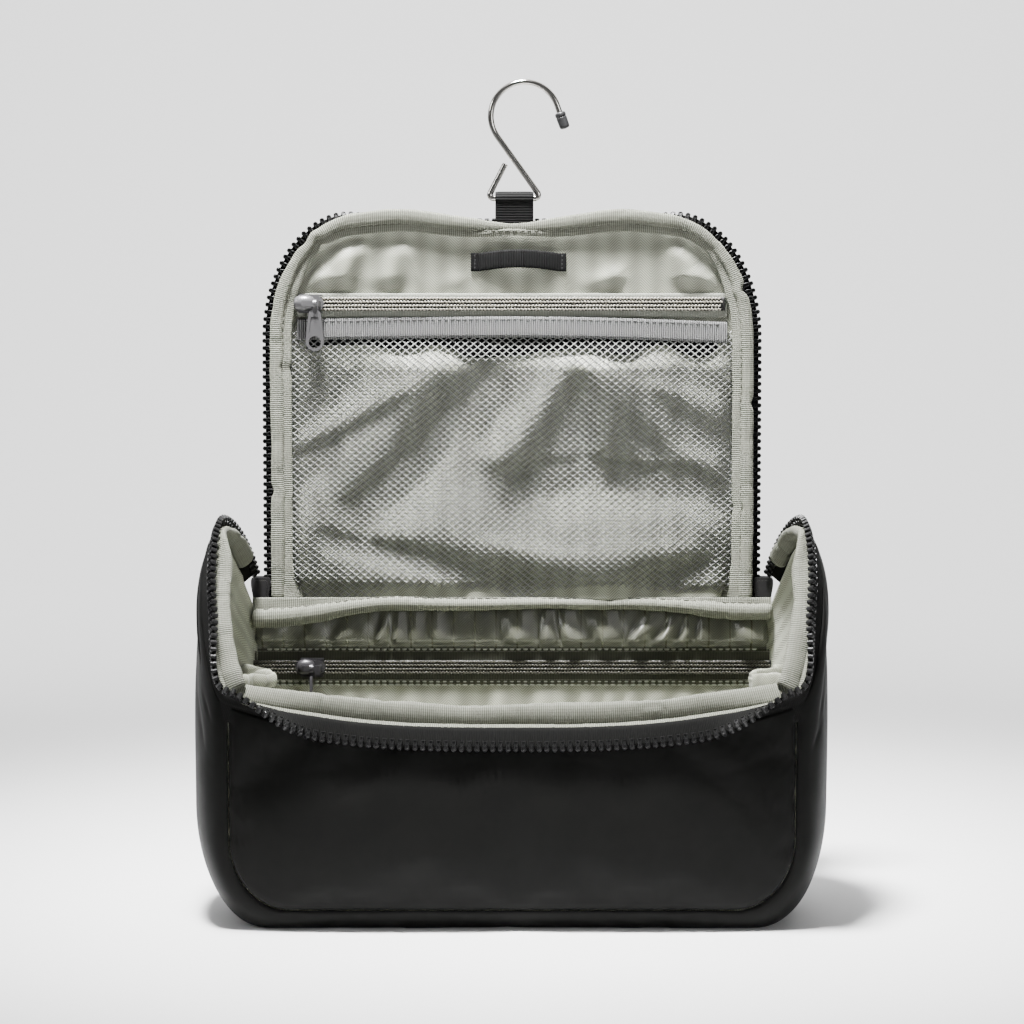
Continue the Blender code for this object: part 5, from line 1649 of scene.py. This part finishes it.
def build_main_slider(name):
    low, high = box_of(f"main_slider_{name}")
    side = 1 if name == "right" else -1
    x, z = (low.x + high.x) / 2, (low.z + high.z) / 2
    front = TEETH_Y - 0.0013 - 0.0005
    back = TEETH_Y + 0.0013 + 0.0005
    right = [(0.0024, -0.0052), (0.0033, -0.0044), (0.0043, 0.0014), (0.0043, 0.0042), (0.0034, 0.0052)]
    outline = right + [(-a, b) for a, b in right[::-1]]
    face = extruded(outline, front - 0.0010, front, 0.0003, 2)
    rear = extruded(outline, back, back + 0.0011, 0.0003, 2)
    rim = extruded([(a * 0.72, b * 0.72) for a, b in outline], front - 0.0013, front - 0.0006, 0.0002, 2)
    nose = side * 0.0002
    wedge_outline = [(nose, -0.0020), (nose + 0.0011, 0.0046), (nose - 0.0009, 0.0046)]
    wedge = extruded(wedge_outline, front - 0.0004, back + 0.0004)
    bridge = bridge_shape(0.0084, 0.0031, 0.0018, 0.0010, 1)
    bridge = ([(c, back + 0.0009 + b, a) for a, b, c in bridge[0]], bridge[1])
    piece = parts_object(f"slider_{name}_body", [face, rim, wedge, rear, bridge], slider_dark, (x, 0, z))
    finish_piece(piece, f"slider_{name}", "dark_metal", f"main_slider_{name}")
    axle = axle_of(f"pull_{name}")
    tab = extruded(tab_outline(0.0007, -PULL_LENGTH), -0.0006, 0.0006, 0.00022, 2)
    eye = box_shape((-0.0015, -0.003, -0.0062), (0.0015, 0.003, -0.0007), 0.0002, 1)
    hole = extruded(arc((0, -PULL_LENGTH), 0.0017, 0, 345, 23), -0.002, 0.002)
    pull = parts_object(f"tab_{name}", [tab], slider_dark, axle, [eye, hole])
    finish_piece(pull, f"pull_{name}", "dark_metal", f"main_pull_{name}")


# ---- Floor, light and camera --------------------------------------------------------------------
def build_stage():
    """A pale sweep, soft lights and the camera."""
    turn = np.linspace(0, math.pi / 2, 24)
    curve = [(1.4 + 0.8 * math.sin(t), 0.8 - 0.8 * math.cos(t)) for t in turn]
    profile = [(-2.2, 0.0), *curve, (2.2, 3.5)]
    verts = [(x, y, z) for x in (-3.5, 3.5) for y, z in profile]
    count = len(profile)
    faces = [(k, count + k, count + k + 1, k + 1) for k in range(count - 1)]
    mesh = bpy.data.meshes.new("sweep")
    mesh.from_pydata(verts, [], faces)
    mesh.shade_smooth()
    sweep = bpy.data.objects.new("sweep", mesh)
    bpy.context.scene.collection.objects.link(sweep)
    mesh.materials.append(Shader("sweep_paint", (0.80, 0.80, 0.80), 0.8).material)
    world = bpy.data.worlds.new("studio")
    world.use_nodes = True
    background = world.node_tree.nodes["Background"].inputs
    background[0].default_value, background[1].default_value = (1.0, 1.0, 1.0, 1), 0.12
    bpy.context.scene.world = world
    for name, place, aim, size, power, spread in (
        ("over", (-0.14, -0.18, 1.20), (0, 0.03, 0.17), 0.20, 6.4, 42),
        ("key", (-1.1, -0.45, 0.75), (0, 0, 0.17), 0.30, 0.25, 40),
        ("fill", (0.9, -1.1, 0.5), (0, 0, 0.15), 0.6, 0.7, 60),
        ("back_wash", (0, 1.0, 1.8), (0, 2.2, 0.7), 2.4, 95, 160),
    ):
        light = bpy.data.lights.new(name, "AREA")
        light.size = size
        light.energy = power
        light.spread = math.radians(spread)
        lamp = bpy.data.objects.new(name, light)
        lamp.location = place
        lamp.rotation_euler = (Vector(aim) - Vector(place)).to_track_quat("-Z", "Y").to_euler()
        bpy.context.scene.collection.objects.link(lamp)
    camera_data = bpy.data.cameras.new("camera")
    camera_data.lens = 101.4
    camera = bpy.data.objects.new("camera", camera_data)
    away, lift = 1.2, math.radians(4)
    aim = Vector((0, 0, 0.1663))
    camera.location = aim + away * Vector((0, -math.cos(lift), math.sin(lift)))
    camera.rotation_euler = (aim - camera.location).to_track_quat("-Z", "Y").to_euler()
    bpy.context.scene.collection.objects.link(camera)
    bpy.context.scene.camera = camera


for build in (
    build_gusset,
    build_front_wall,
    build_back_wall,
    build_side_pockets,
    build_opening,
    build_lid_shell,
    build_lid_lining,
    build_mesh,
    build_band,
):
    build()
lid_zip = (LID_ZIP_Z, LID_ZIP_HALF, LID_COIL_FACE, 0.0455, (0.0043, 0.0056))
lid_finishes = (grey_tape, coil_light, coil_painted_shadow)
build_pocket_zip("lid_pocket", *lid_zip, lid_finishes, "lid_upper", ("grey_tape", "grey_coil"))
rear_zip = (REAR_ZIP_Z, REAR_ZIP_HALF, REAR_COIL_FACE, 0.0448, (0.0076, 0.0076))
rear_finishes = (olive_tape, coil_dark, coil_painted_shadow)
build_pocket_zip("rear_pocket", *rear_zip, rear_finishes, "body", ("black_tape", "dark_coil"))
for build in (build_lid_edge, build_hinge, build_loop, build_hook, build_strap):
    build()
build_pocket_slider("lid_pocket", slider_grey, "lid_slider", "grey_metal")
build_pocket_slider("rear_pocket", slider_charcoal, "rear_slider", "dark_metal")
build_hanging_pull("lid_pocket", "xz", slider_grey, "lid_pull", "grey_metal", 0.0020)
build_hanging_pull("rear_pocket", "yz", slider_charcoal, "rear_pull", "dark_metal")
build_main_slider("left")
build_main_slider("right")
build_stage()
